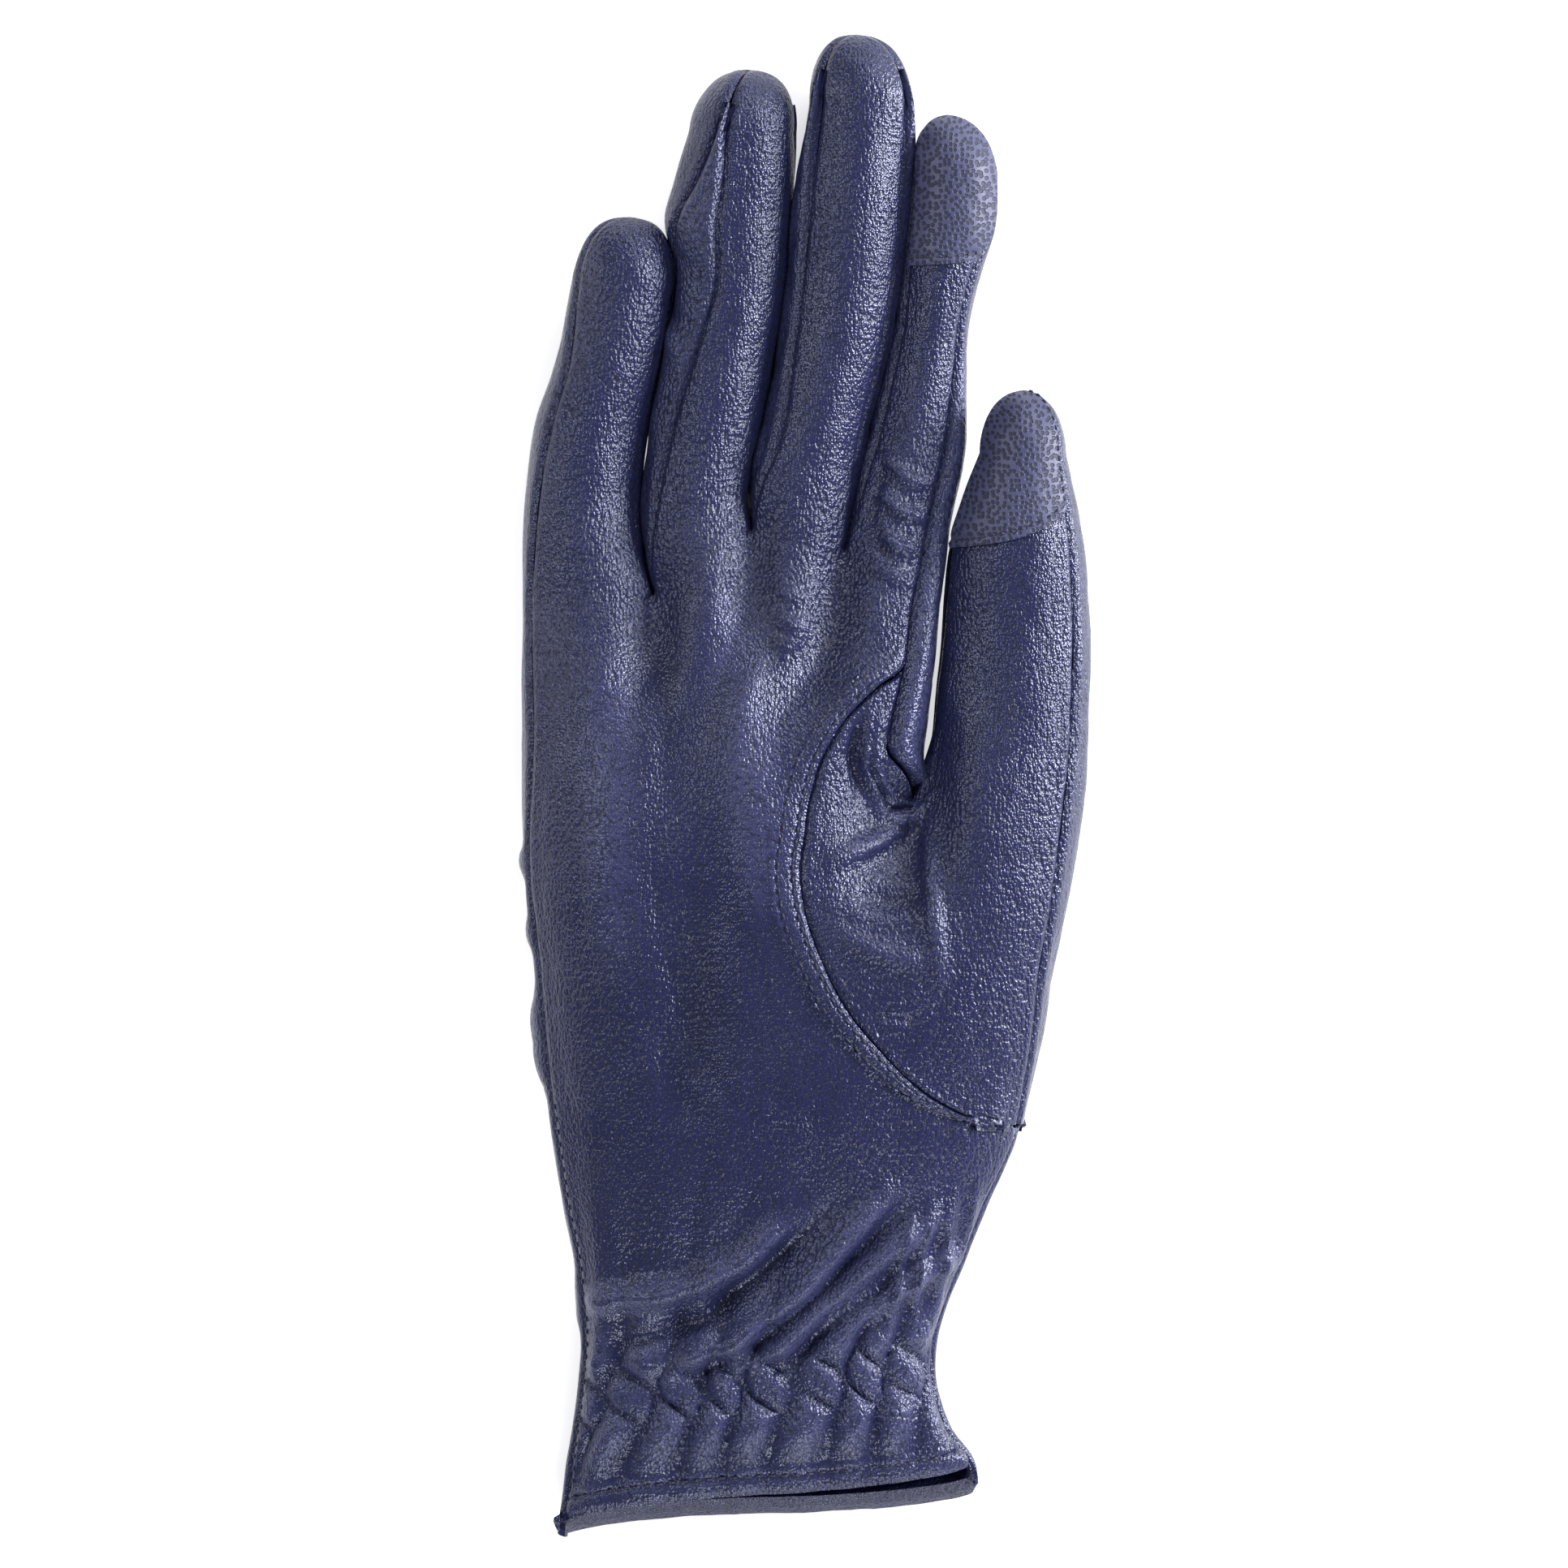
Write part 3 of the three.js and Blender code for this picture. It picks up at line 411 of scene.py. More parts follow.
def finger_side(finger, side, v, c):
    """The side wall of a finger, from the back seam at 0 to the front seam at 1"""

    def angles(s):
        if side > 0:
            return s["right_seam"] - s["side"], s["right_seam"]
        return s["left_seam"] + s["side"], s["left_seam"]

    root, now = finger_section(finger, 0.0), finger_section(finger, v)
    fork = FORKS[finger["left_fork"] + (1 if side > 0 else 0)]
    below, above = fork_point(fork, "back"), fork_point(fork, "front")
    line = at(above[0], above[1], mix(below[2] + LEATHER, above[2] - FORK_SEAM, c))
    move = line - round_point(root, mix(*angles(root), c))
    fade = (1 - ease(share(v, 0, ROOT)))[..., None]
    return round_point(now, mix(*angles(now), c)) + move * fade


print("finger lengths:", [finger["length"] for finger in FINGERS])

# %% [markdown]
# The thumb grows out of a ball that lies on the palm. Its front piece starts on the long seam, crosses
# the ball and, at the fork, splits into the thumb itself and a web towards the index finger.

# %% Sections of the thumb
BALL_START = -0.34  # how far the thumb's ball reaches into the palm
THUMB = table("at left right height depth", """
-0.34  1.09  1.212 0.56 0.42
-0.283 1.06  1.244 0.6  0.48
-0.234 1.02  1.27  0.64 0.54
-0.176 0.985 1.293 0.68 0.58
-0.094 0.96  1.332 0.72 0.6
0      0.95  1.365 0.72 0.58
0.151  0.992 1.375 0.7  0.55
0.231  1.003 1.377 0.69 0.54
0.371  1.02  1.381 0.68 0.52
0.492  1.029 1.377 0.67 0.51
0.622  1.043 1.367 0.66 0.5
0.773  1.088 1.342 0.65 0.46
0.853  1.121 1.324 0.65 0.43
""")
FORK_ANGLE = 16  # of the thumb's fork, in degrees round the hand
THUMB_TIP = 1.225  # share of the palm's width
THUMB_SEAM = 38  # the side seam of the thumb, in degrees round it
THUMB_INSIDE = 172  # where the thumb's front piece ends on the inside
BALL_INSIDE = (130, 160)  # where the ball's front starts, at the wrist and at the fork
BALL_UNDER = -120  # where its back ends at the wrist
WEB_SHARE = 0.3  # of the thumb piece's width that lies inside the fork
DIP_WIDTH, DIP_ROWS = 0.16, 1.6  # of the ball's dip towards the fork
FORK_ALONG = ROW_ENDS["right"][FORK_ROW]


def thumb_section(v):
    return round_section(THUMB, THUMB_TIP, THUMB_DEPTH, v) | dict(
        y=FORK_ALONG * BODY_LENGTH + v * np.where(np.asarray(v) > 0, THUMB_LENGTH, BODY_LENGTH),
        slope=0,
    )


def ball_place(row):
    return np.maximum(read(ROW_ENDS, "right", row) - FORK_ALONG, BALL_START)


def ball_front(row, c):
    s = thumb_section(ball_place(row))
    inside = mix(*BALL_INSIDE, share(row, CORNER_ROW, FORK_ROW))
    point = round_point(s, mix(inside, THUMB_SEAM, c))
    seam = body_point(read(ROW_ENDS, "angle", row), read(ROW_ENDS, "right", row))
    return point + (seam - round_point(s, inside)) * ((1 - c) ** 2)[..., None]


def thumb_ball_front(row, c):
    near = bell(c - WEB_SHARE, DIP_WIDTH) * bell(FORK_ROW - row, DIP_ROWS)
    fork = body_point(np.array(FORK_ANGLE), np.array(FORK_ALONG))
    dip = fork - ball_front(np.array(float(FORK_ROW)), np.array(WEB_SHARE))
    return ball_front(row, c) + near[..., None] * dip


def thumb_front(v, c):
    root, now = thumb_section(0.0), thumb_section(v)
    goal = thumb_ball_front(np.full_like(c, FORK_ROW), mix(WEB_SHARE, 1, c))
    move = goal - round_point(root, mix(THUMB_INSIDE, THUMB_SEAM, c))
    fade = (1 - ease(share(v, 0, ROOT)))[..., None]
    return round_point(now, mix(THUMB_INSIDE, THUMB_SEAM, c)) + move * fade


def thumb_web(row, c):
    def between(row, c):
        start, end = read(ROW_ENDS, "angle", row), read(BACK_EDGE, "angle", row)
        return body_point(mix(start, end, c), read(ROW_ENDS, "right", row))

    fork_row = np.full_like(c, FORK_ROW)
    goal = thumb_ball_front(fork_row, c * WEB_SHARE)
    fade = (1 - ease(share(row, FORK_ROW, FORK_ROW + 2)))[..., None]
    return between(row, c) + (goal - between(fork_row, c)) * fade


def ball_back(row, c):
    s = thumb_section(ball_place(row))
    end = mix(BALL_UNDER, THUMB_INSIDE - 360, ease(share(row, CORNER_ROW, FORK_ROW)))
    point = round_point(s, mix(THUMB_SEAM, end, c))
    edge = body_point(read(BACK_EDGE, "angle", row), read(ROW_ENDS, "right", row))
    return on_floor(point + (edge - round_point(s, end)) * (c**3)[..., None])


def thumb_back(v, c):
    root, now = thumb_section(0.0), thumb_section(v)
    goal = ball_back(np.full_like(c, FORK_ROW), c)
    move = goal - round_point(root, mix(THUMB_SEAM, THUMB_INSIDE - 360, c))
    fade = (1 - ease(share(v, 0, ROOT)))[..., None]
    return round_point(now, mix(THUMB_SEAM, THUMB_INSIDE - 360, c)) + move * fade


print("the thumb leaves the hand", round(FORK_ALONG * BODY_LENGTH), "mm above the cuff")

# %% [markdown]
# The palm and the back turn into the fingers over their last rows. Their columns are spread so that each
# finger gets its own quarter of them, and so the fingers join on without a step.

# %% Palm and back
ROOT_FADE = 6  # rows over which the palm's form turns into the fingers' roots


def root_row(pieces, c):
    """The row where the fingers start, and how far each of its columns has come along it"""
    i = np.minimum((c * 4 + 1e-9).astype(int), 3)
    spots = np.array([pieces[k](np.zeros(1), np.array([4 * x - k]))[0] for x, k in zip(c, i)])
    step = np.diff(spots, axis=0)
    run = np.concatenate([[0], np.cumsum(np.abs(step[:, 0]) + 0.3 * np.abs(step[:, 2]))])
    return run / run[-1], spots


FRONT_ROOTS = [lambda v, c, f=f: finger_front(f, v, c) for f in FINGERS]
BACK_ROOTS = [lambda v, c, f=f: finger_back(f, v, c) for f in FINGERS[::-1]]
front_places, back_places = np.linspace(0, 1, 33), np.linspace(0, 1, 21)
front_shares, _ = root_row(FRONT_ROOTS, front_places)
back_shares, _ = root_row(BACK_ROOTS, back_places)


def joined(point, row, c, top_start, top_end, top_rights, shares, roots):
    """Turns the last rows of a piece into the fingers' roots"""
    fade = ease(share(row, TOP_ROW - ROOT_FADE, TOP_ROW))[:, None, None]
    flat = strip([top_start], [top_end], [top_rights[0]], [top_rights[1]], [shares])[0]
    goal = root_row(roots, c)[1]
    return point + fade * (goal - flat)[None]


def palm_point(row, c):
    left, right = read(ROW_ENDS, "left", row), read(ROW_ENDS, "right", row)
    shares = np.interp(c, front_places, front_shares)
    even = ease(share(row, CORNER_ROW - 3, FORK_ROW))[:, None]
    part = mix(c[None], shares[None], even)
    point = strip(little_seam(left), read(ROW_ENDS, "angle", row), left, right, part)
    tops = ROW_ENDS["left"][TOP_ROW], ROW_ENDS["right"][TOP_ROW]
    ends = little_seam(tops[0]), ROW_ENDS["angle"][TOP_ROW]
    return joined(point, row, c, *ends, tops, shares, FRONT_ROOTS)


BACK_HEM_EXTRA = 2.7  # millimetres by which the back's hem is longer than the front's


def back_point(row, c):
    longer = BACK_HEM_EXTRA / BODY_LENGTH * (1 - share(row, 0, 1))
    left, right = read(ROW_ENDS, "left", row) - longer, read(ROW_ENDS, "right", row) - longer
    shares = np.interp(c, back_places, back_shares)
    part = np.repeat(shares[None], len(row), axis=0)
    point = strip(read(BACK_EDGE, "angle", row), little_seam(left) - 360, right, left, part)
    tops = ROW_ENDS["right"][TOP_ROW], ROW_ENDS["left"][TOP_ROW]
    ends = BACK_EDGE["angle"][-1], little_seam(tops[1]) - 360
    return on_floor(joined(point, row, c, *ends, tops, shares, BACK_ROOTS))


print("palm row lengths", palm_point(np.array([0.0, 28.0]), np.array([0, 1.0])).round(1).tolist())

# %% [markdown]
# ## Folds and gathers
#
# Leather that has been worn keeps its folds. A cloth simulation would put folds somewhere, but not where
# the photograph has them, so each fold here is a line drawn on the glove: a ridge with a shallow valley on
# both sides that fades at its ends. A little smooth noise keeps the surface between them soft.

# %% Ridges and noise
PALM_LEFT, PALM_PIXELS = 638, 512  # the palm's left edge and its width in the photograph
CUFF_EDGE, BODY_PIXELS = 1876, 1221  # the cuff's edge and the body's length
PIXEL = BODY_LENGTH / BODY_PIXELS  # millimetres on the glove


def spot(px, py):
    """A place in the photograph, in the pattern's millimetres"""
    return np.array([(px - PALM_LEFT) / PALM_PIXELS * PALM_WIDTH, (CUFF_EDGE - py) * PIXEL])


def to_path(points, path):
    """Each point's distance from a path, and how far along the path it is, from 0 to 1"""
    path = np.array([spot(*p) for p in path])
    steps = np.diff(path, axis=0)
    lengths = np.linalg.norm(steps, axis=1)
    starts = distances(path)
    best = np.full(len(points), np.inf)
    place = np.zeros(len(points))
    for start, step, length, before in zip(path, steps, lengths, starts):
        t = np.clip((points[:, :2] - start) @ step / length**2, 0, 1)
        off = np.linalg.norm(points[:, :2] - start - t[:, None] * step, axis=1)
        nearer = off < best
        best[nearer] = off[nearer]
        place[nearer] = (before + t[nearer] * length) / starts[-1]
    return best, place


def folds(points, lines):
    """Height of a list of folds: each is a width and a height in millimetres, and a path in pixels"""
    height = np.zeros(len(points))
    for width, high, *path in lines:
        off, place = to_path(points, path)
        x = (off / width) ** 2
        height += high * np.sin(np.pi * np.clip(place, 0.02, 0.98)) ** 0.5 * (1 - 0.45 * x) * np.exp(-x)
    return height


def rough(points, size, stretch=1.0, seed=0.0):
    """Smooth noise from -1 to 1 with lumps of a size in millimetres, longer along the fingers by stretch"""
    scaled = points / np.array([size, size * stretch, size]) + seed
    return np.array([noise.noise(Vector(p)) for p in scaled])


def crumple(points, size, stretch=1.0, seed=0.0):
    """Sharp creases between soft facets, from 0 to -1 in the creases"""
    return -((1 - np.abs(rough(points, size, stretch, seed))) ** 6)


print("a pixel of the photograph is", round(PIXEL, 4), "mm wide")

# %% [markdown]
# Two rows of elastic are sewn inside the wrist. Between the rows the leather puffs up into leaf-shaped
# gathers, one for each stretch of elastic, and below the second row they run out as flutes to the hem.

# %% Gathers of the wrist
GATHERS = 8
PUFF = 1.7  # millimetres
FLUTE_HEIGHT, PLEAT_HEIGHT = 1.1, 1.2  # as shares of a leaf's
LEAF_SLANT, FLUTE_SLANT, PLEAT_SLANT = 0.6, 0.6, 0.5  # of a gather's width
LEAF_WIDTH = 0.84
PLEAT_ROWS = 5
STITCH_PINCH = 0.12  # millimetres


def dome(across):
    """A rounded ridge between two creases; across runs from 0 to 1"""
    return 1 - np.abs(2 * (across % 1) - 1) ** 1.8


def leaves(u, t):
    """Two sets of leaves that interlock: one is widest where the other is narrow"""
    side = np.abs(2 * ((u - LEAF_SLANT * t + 0.5) % 1) - 1)
    wide = LEAF_WIDTH * np.sin(np.pi * np.clip(t, 0.001, 0.999)) ** 0.95
    inside = np.sqrt(np.clip(1 - (side / wide) ** 2, 0, 1)) * wide**0.5
    beside = np.where(side > wide, (1 - ((1 - side) / (1 - wide)) ** 2) * (1 - wide) ** 0.8, 0)
    return np.where(side < wide, inside, beside)


def flutes(u, t):
    """Flutes that run from the leaves to the hem and sink on the way"""
    return dome(u - LEAF_SLANT + FLUTE_SLANT * t) * (1 - 0.8 * ease(share(t, 0.15, 0.95)))


def pleats(u, t):
    """Pleats that run from the leaves into the palm, each of its own length"""
    pleat = u - PLEAT_SLANT * t
    reach = 0.5 + 0.5 * np.sin(9.1 * np.floor(pleat) + 2) ** 2
    return dome(pleat) * np.exp(-2.2 * t / reach)


def gathers(row, c):
    """Height of the leather round the elastic, for a row of the pattern and a place across"""
    low, high = STITCH_ROWS
    u = GATHERS * c + 0.1 * np.sin(5 * np.pi * c)
    between = leaves(u, share(high - row, 0, high - low))
    above = PLEAT_HEIGHT * pleats(u, share(row - high, 0, PLEAT_ROWS))
    below = FLUTE_HEIGHT * flutes(u, share(low - row, 0, low))
    height = PUFF * np.where(row > high, above, np.where(row < low, below, between))
    pinned = sum(bell(share(np.abs(row - stitched), 0, 0.5)) for stitched in STITCH_ROWS)
    edge = 0.5 / GATHERS
    return (height - STITCH_PINCH * pinned) * ease(share(c, 0, edge)) * ease(share(1 - c, 0, edge))


print(GATHERS, "gathers,", round(PALM_WIDTH / GATHERS, 1), "mm wide each")

# %% [markdown]
# ## From a pattern to leather
#
# A piece of leather is made of patches of its outer face, joined where they share an edge. For each point
# we keep how far it is from a sewn edge, because seams and folds depend on that.

# %% Patches of a piece
WELD = 0.02  # millimetres: points that round to the same step of this size are one
SOFT_REACH = 4.5  # millimetres round a place where pinches are evened out
FAR = 99.0  # millimetres: out of reach of any seam


class Leather:
    """The pattern of a sewn piece: its outer face, its seams and how high it stands"""

    def __init__(self, name):
        self.name = name
        self.grids, self.lifts, self.seams, self.soft = [], [], [], []

    def patch(self, grid, lift=None, seams="lr", pins=(), soft=()):
        """Adds a grid of points. seams names its sewn edges: left, right, bottom and top.

        pins are grid places that are sewn down, and round the soft places pinches are evened out.
        """
        shape = grid.shape[:2]
        from_left, from_bottom = distances(grid, axis=1), distances(grid, axis=0)
        away = {
            "l": from_left,
            "r": from_left[:, -1:] - from_left,
            "b": from_bottom,
            "t": from_bottom[-1:] - from_bottom,
        }
        off = np.full(shape, FAR)
        for side in seams:
            off = np.minimum(off, away[side])
        for pin in pins:
            off = np.minimum(off, np.linalg.norm(grid - grid[pin], axis=-1))
        from_soft = np.full(shape, FAR)
        for place in soft:
            from_soft = np.minimum(from_soft, np.linalg.norm(grid - grid[place], axis=-1))
        self.soft.append(from_soft)
        self.grids.append(grid)
        self.lifts.append(np.zeros(shape) if lift is None else np.broadcast_to(lift, shape))
        self.seams.append(off)
        return away

    def weld(self):
        """Joins the patches: points, quads and, for each point, its lift and distance from a seam"""
        points = np.concatenate([grid.reshape(-1, 3) for grid in self.grids])
        keys = np.round(points / WELD).astype(np.int64)
        _, first, index = np.unique(keys, axis=0, return_index=True, return_inverse=True)
        index = index.reshape(-1)
        quads, start = [], 0
        for grid in self.grids:
            rows, columns = grid.shape[:2]
            ids = start + np.arange(rows * columns).reshape(rows, columns)
            corners = ids[:-1, :-1], ids[:-1, 1:], ids[1:, 1:], ids[1:, :-1]
            quads.append(np.stack(corners, axis=-1).reshape(-1, 4))
            start += rows * columns
        quads = index[np.concatenate(quads)]
        cuts = np.cumsum([grid.shape[0] * grid.shape[1] for grid in self.grids])[:-1]
        parts = zip(np.split(index, cuts), self.grids)
        self.spots = [part.reshape(grid.shape[:2]) for part, grid in parts]
        off = np.full(len(first), FAR)
        np.minimum.at(off, index, np.concatenate([s.ravel() for s in self.seams]))
        from_soft = np.concatenate([p.ravel() for p in self.soft]) / SOFT_REACH
        self.near = np.zeros(len(first))
        np.maximum.at(self.near, index, np.exp(-(from_soft**4)))
        lift = np.concatenate([v.ravel() for v in self.lifts])[first]
        return points[first], quads, lift, off


print("patches are joined to within", WELD, "mm")

# %% [markdown]
# Folds and noise lift the leather along its normal, and an inner face at the leather's thickness closes
# it. Blender's Solidify modifier could do that too, but it would copy the rubbed colour of the ridges and
# the painted shade of the valleys to the inside of the glove. Our own closed mesh leaves the inside
# without either.

# %% Normals, soft places and thickness
SHARP_ANGLE = 55  # degrees between two faces that meet in a sharp edge


def normals_of(points, quads):
    a, b, c, d = (points[quads[:, k]] for k in range(4))
    face = np.cross(c - a, d - b)
    normals = np.zeros_like(points)
    for k in range(4):
        np.add.at(normals, quads[:, k], face)
    return normals / np.maximum(np.linalg.norm(normals, axis=1, keepdims=True), 1e-12)


def smoothed(points, quads, near, times=60):
    """Evens out sharp pinches where near is close to 1"""
    count = np.zeros(len(points))
    for k in range(4):
        np.add.at(count, quads[:, k], 1)
    for _ in range(times):
        total = np.zeros_like(points)
        centres = points[quads].mean(axis=1)
        for k in range(4):
            np.add.at(total, quads[:, k], centres)
        points = points + near[:, None] * (total / np.maximum(count, 1)[:, None] - points)
    return points


def without_slivers(quads):
    """Quads that keep their four corners, and triangles where two corners fell together"""
    faces = []
    for quad in quads.tolist():
        corners = [q for k, q in enumerate(quad) if q != quad[k - 1]]
        if len(set(corners)) >= 3:
            faces.append(corners)
    return faces


def closed(points, normals, quads):
    """Outer face, inner face and the cut edge between them"""
    count = len(points)
    outer = without_slivers(quads)
    inner = [[q + count for q in face[::-1]] for face in outer]
    edges = {}
    for face in outer:
        for k, end in enumerate(face):
            begin = face[k - 1]
            if (end, begin) in edges:
                del edges[end, begin]
            else:
                edges[begin, end] = True
    rim = [[begin, begin + count, end + count, end] for begin, end in edges]
    return np.concatenate([points, points - normals * LEATHER]), outer + inner + rim


def to_object(name, points, faces, shades=None):
    """A mesh object in metres, with smooth faces and a shade for each point"""
    mesh = bpy.data.meshes.new(name)
    mesh.from_pydata(((points - CENTRE) / 1000).tolist(), [], faces)
    mesh.validate()
    mesh.shade_smooth()
    mesh.set_sharp_from_angle(angle=math.radians(SHARP_ANGLE))
    if shades is not None:
        # the height of folds, creases and seams, which the finish turns into paler rubbed ridges and
        # painted shade in valleys and seam dips
        layer = mesh.attributes.new("wear_and_shade", "FLOAT", "POINT")
        layer.data.foreach_set("value", shades.astype(np.float32))
    piece = bpy.data.objects.new(name, mesh)
    bpy.context.scene.collection.objects.link(piece)
    return piece


print("edges sharper than", SHARP_ANGLE, "degrees stay sharp")

# %% [markdown]
# A seam dips where the thread pulls the leather in, and swells a little beside it. Slow lumps make the
# leather look filled, fine ones and creases make it look worn. All of them are heights in millimetres.

# %% Sewing a piece
SEAM_DIP = 0.5
SEAM_WIDTH = 0.5
SEAM_SWELL, SWELL_FROM_SEAM, SWELL_WIDTH = 0.14, 1.5, 0.8
SEAM_REACH = 2.2  # folds and creases fade out over this distance from a seam
SLOW_LUMPS, FINE_LUMPS, CREASES = (11, 1.6), (4, 1.5), (7, 1.8)  # size, and how much longer along the hand
FINE_HEIGHT = 0.12


def sew(piece, material, replaced, lines=(), crease=0.1, soft=0.22, seed=0.0):
    """Turns a pattern piece into an object that stands for its solid. piece.faces keeps its outer grids"""
    points, quads, lift, off = piece.weld()
    normals = normals_of(points, quads)
    inside = 1 - bell(off, SEAM_REACH)
    lumps = soft * rough(points, *SLOW_LUMPS, seed)
    relief = lift + folds(points, lines) * inside
    relief += lumps + FINE_HEIGHT * rough(points, *FINE_LUMPS, seed)
    relief += crease * crumple(points, *CREASES, seed) * inside
    seam = -SEAM_DIP * bell(off, SEAM_WIDTH) + SEAM_SWELL * bell(off - SWELL_FROM_SEAM, SWELL_WIDTH)
    # height above the filled form: the finish rubs ridges paler and paints shade into valleys, creases and
    # seam dips
    wear_and_shade = relief - lumps + seam
    outer = points + normals * (relief + seam)[:, None]
    outer = on_floor(smoothed(outer, quads, piece.near))
    normals = normals_of(outer, quads)
    piece.faces = [(outer[spots], normals[spots]) for spots in piece.spots]
    solid, faces = closed(outer, normals, quads)
    obj = to_object(piece.name, on_floor(solid), faces, np.concatenate([wear_and_shade, 0 * wear_and_shade]))
    obj.data.materials.append(material)
    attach(obj, "root")
    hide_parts(replaced)
    print(piece.name, len(obj.data.polygons), "faces")


# %% [markdown]
# ## Finishes
#
# Semi-gloss glove leather is nearly black blue, and most of what the eye sees is light on its grain: small
# pebbles drawn out along the hand. Material nodes are easier to read as sums, so a small class lets us
# write them like numbers.

# %% Sockets as numbers
class Value:
    """A socket of a finish: arithmetic on it adds Math nodes"""

    def __init__(self, finish, socket):
        self.finish, self.socket = finish, socket

    def math(self, operation, *others):
        sockets = dict(enumerate(others))
        return self.finish.node("Math", {"operation": operation}, sockets)

    def out(self, name):
        return Value(self.finish, self.socket.node.outputs[name])

    def __add__(self, other):
        return self.math("ADD", self, other)

    def __radd__(self, other):
        return self.math("ADD", other, self)

    def __sub__(self, other):
        return self.math("SUBTRACT", self, other)

    def __rsub__(self, other):
        return self.math("SUBTRACT", other, self)

    def __mul__(self, other):
        return self.math("MULTIPLY", self, other)

    def __rmul__(self, other):
        return self.math("MULTIPLY", other, self)


class Finish:
    """A material that is written as nodes"""

    def __init__(self, name):
        self.material = bpy.data.materials.new(name)
        self.material.use_nodes = True
        self.tree = self.material.node_tree
        self.tree.nodes.clear()

    def node(self, kind, settings=None, sockets=None):
        node = self.tree.nodes.new("ShaderNode" + kind)
        for name, value in (settings or {}).items():
            setattr(node, name, value)
        for name, value in (sockets or {}).items():
            socket = node.inputs[name]
            if isinstance(value, Value):
                self.tree.links.new(value.socket, socket)
            else:
                socket.default_value = value
        shown = [output for output in node.outputs if output.enabled]
        return Value(self, shown[0]) if shown else node

    def blend(self, factor, first, second):
        """A colour between two colours"""
        return self.node("Mix", {"data_type": "RGBA"}, {0: factor, 6: first, 7: second})

    def cloud(self, place, scale, detail):
        """Soft noise, near 0.5 on average"""
        return self.node("TexNoise", {}, {"Vector": place, "Scale": scale, "Detail": detail})

    def step(self, value, start, end):
        """0 below start and 1 above end, with a soft change between"""
        sockets = {"Value": value, "From Min": start, "From Max": end}
        return self.node("MapRange", {"interpolation_type": "SMOOTHSTEP"}, sockets)

    def finish(self, colour, roughness, height, distance, **constant):
        bump = self.node("Bump", {}, {"Height": height, "Distance": distance, "Strength": 1.0})
        sockets = {"Base Color": colour, "Roughness": roughness, "Normal": bump}
        sockets |= {name.replace("_", " "): value for name, value in constant.items()}
        shader = self.node("BsdfPrincipled", {}, sockets)
        self.node("OutputMaterial", {}, {"Surface": shader})
        return self.material


# %% [markdown]
# The grain is two Voronoi patterns of little domes: coarse pebbles that are drawn out along the glove, and
# finer ones over them. A slow noise bends their rows, and another makes the grain stand out more in some
# places than in others. Ridges of the leather are rubbed paler. Its valleys, creases and seam dips are
# painted darker as shade, and so are the hollows between the pebbles. A point attribute tells ridges from
# valleys: it is the height of folds, creases and seams above the filled form.

# %% Leather
NAVY = (0.018, 0.021, 0.074, 1)
# dark navy for painted shade: in valleys, creases, seam dips, the grain's hollows and the dimples
NAVY_SHADE = (0.007, 0.009, 0.032, 1)
NAVY_RUBBED = (0.045, 0.050, 0.130, 1)
LAVENDER = (0.80, 0.84, 1.0, 1)
GRAIN_DEPTH = 0.00014  # metres
COARSE_PEBBLES, FINE_PEBBLES = (0.64, 0.98), (0.36, 0.5)  # millimetres across and along the glove
DRIFT = 0.004  # metres by which the rows of pebbles bend
DRIFT_SCALE, ZONE_SCALE, TONE_SCALE = 45.0, 38.0, 70.0  # of the slow noises, for each metre


def leather(name, gloss, pale=1.0):
    finish = Finish(name)
    place = finish.node("TexCoord").out("Object")
    drift = finish.cloud(place, DRIFT_SCALE, 1.0).out("Color")
    bent = finish.node("VectorMath", {"operation": "MULTIPLY_ADD"}, {0: drift, 1: (DRIFT,) * 3, 2: place})

    def pebbles(wide, long):
        sizes = (1000 / wide, 1000 / long, 1000 / wide)
        cells = finish.node("Mapping", {}, {"Vector": bent, "Scale": sizes})
        near = finish.node("TexVoronoi", {}, {"Vector": cells, "Scale": 1.0, "Randomness": 0.8})
        return 1 - 1.6 * near * near

    big, small = pebbles(*COARSE_PEBBLES), pebbles(*FINE_PEBBLES)
    zones = finish.step(finish.cloud(place, ZONE_SCALE, 2.0), 0.38, 0.62)
    tone = finish.cloud(place, TONE_SCALE, 3.0)
    # height above the filled form: rubbed paler on ridges, painted shade in valleys, creases and seam dips
    wear_and_shade = finish.node("Attribute", {"attribute_name": "wear_and_shade"}).out("Fac")
    rubbed = finish.step(wear_and_shade + 0.6 * tone, 0.4, 1.8)
    # painted shade: a mask of the places that sink below the filled form
    valley_shade = finish.step(0 - wear_and_shade, 0.3, 1.8)
    valley = 1 - finish.step(big, 0.1, 0.75)
    colour = finish.blend(rubbed * pale, NAVY, NAVY_RUBBED)
    # painted shade: valleys, creases and seam dips are coloured dark navy
    colour = finish.blend(valley_shade * 0.6, colour, NAVY_SHADE)
    # painted shade: the hollows between the coarse pebbles are coloured dark navy
    colour = finish.blend(valley * 0.7, colour, NAVY_SHADE)
    roughness = gloss + 0.14 * (tone - 0.5) + 0.12 * valley - 0.04 * rubbed
    height = big * (0.55 + 0.45 * zones) + 0.45 * small
    return finish.finish(
        colour, roughness, height, GRAIN_DEPTH,
        Specular_IOR_Level=0.65, Specular_Tint=LAVENDER,
        Sheen_Weight=0.02, Sheen_Roughness=0.35, Sheen_Tint=LAVENDER,
    )


palm_leather = leather("palm_leather", gloss=0.23)
back_leather = leather("back_leather", gloss=0.24, pale=1.2)
side_leather = leather("side_leather", gloss=0.29, pale=0.8)
print("leathers:", palm_leather.name, back_leather.name, side_leather.name)

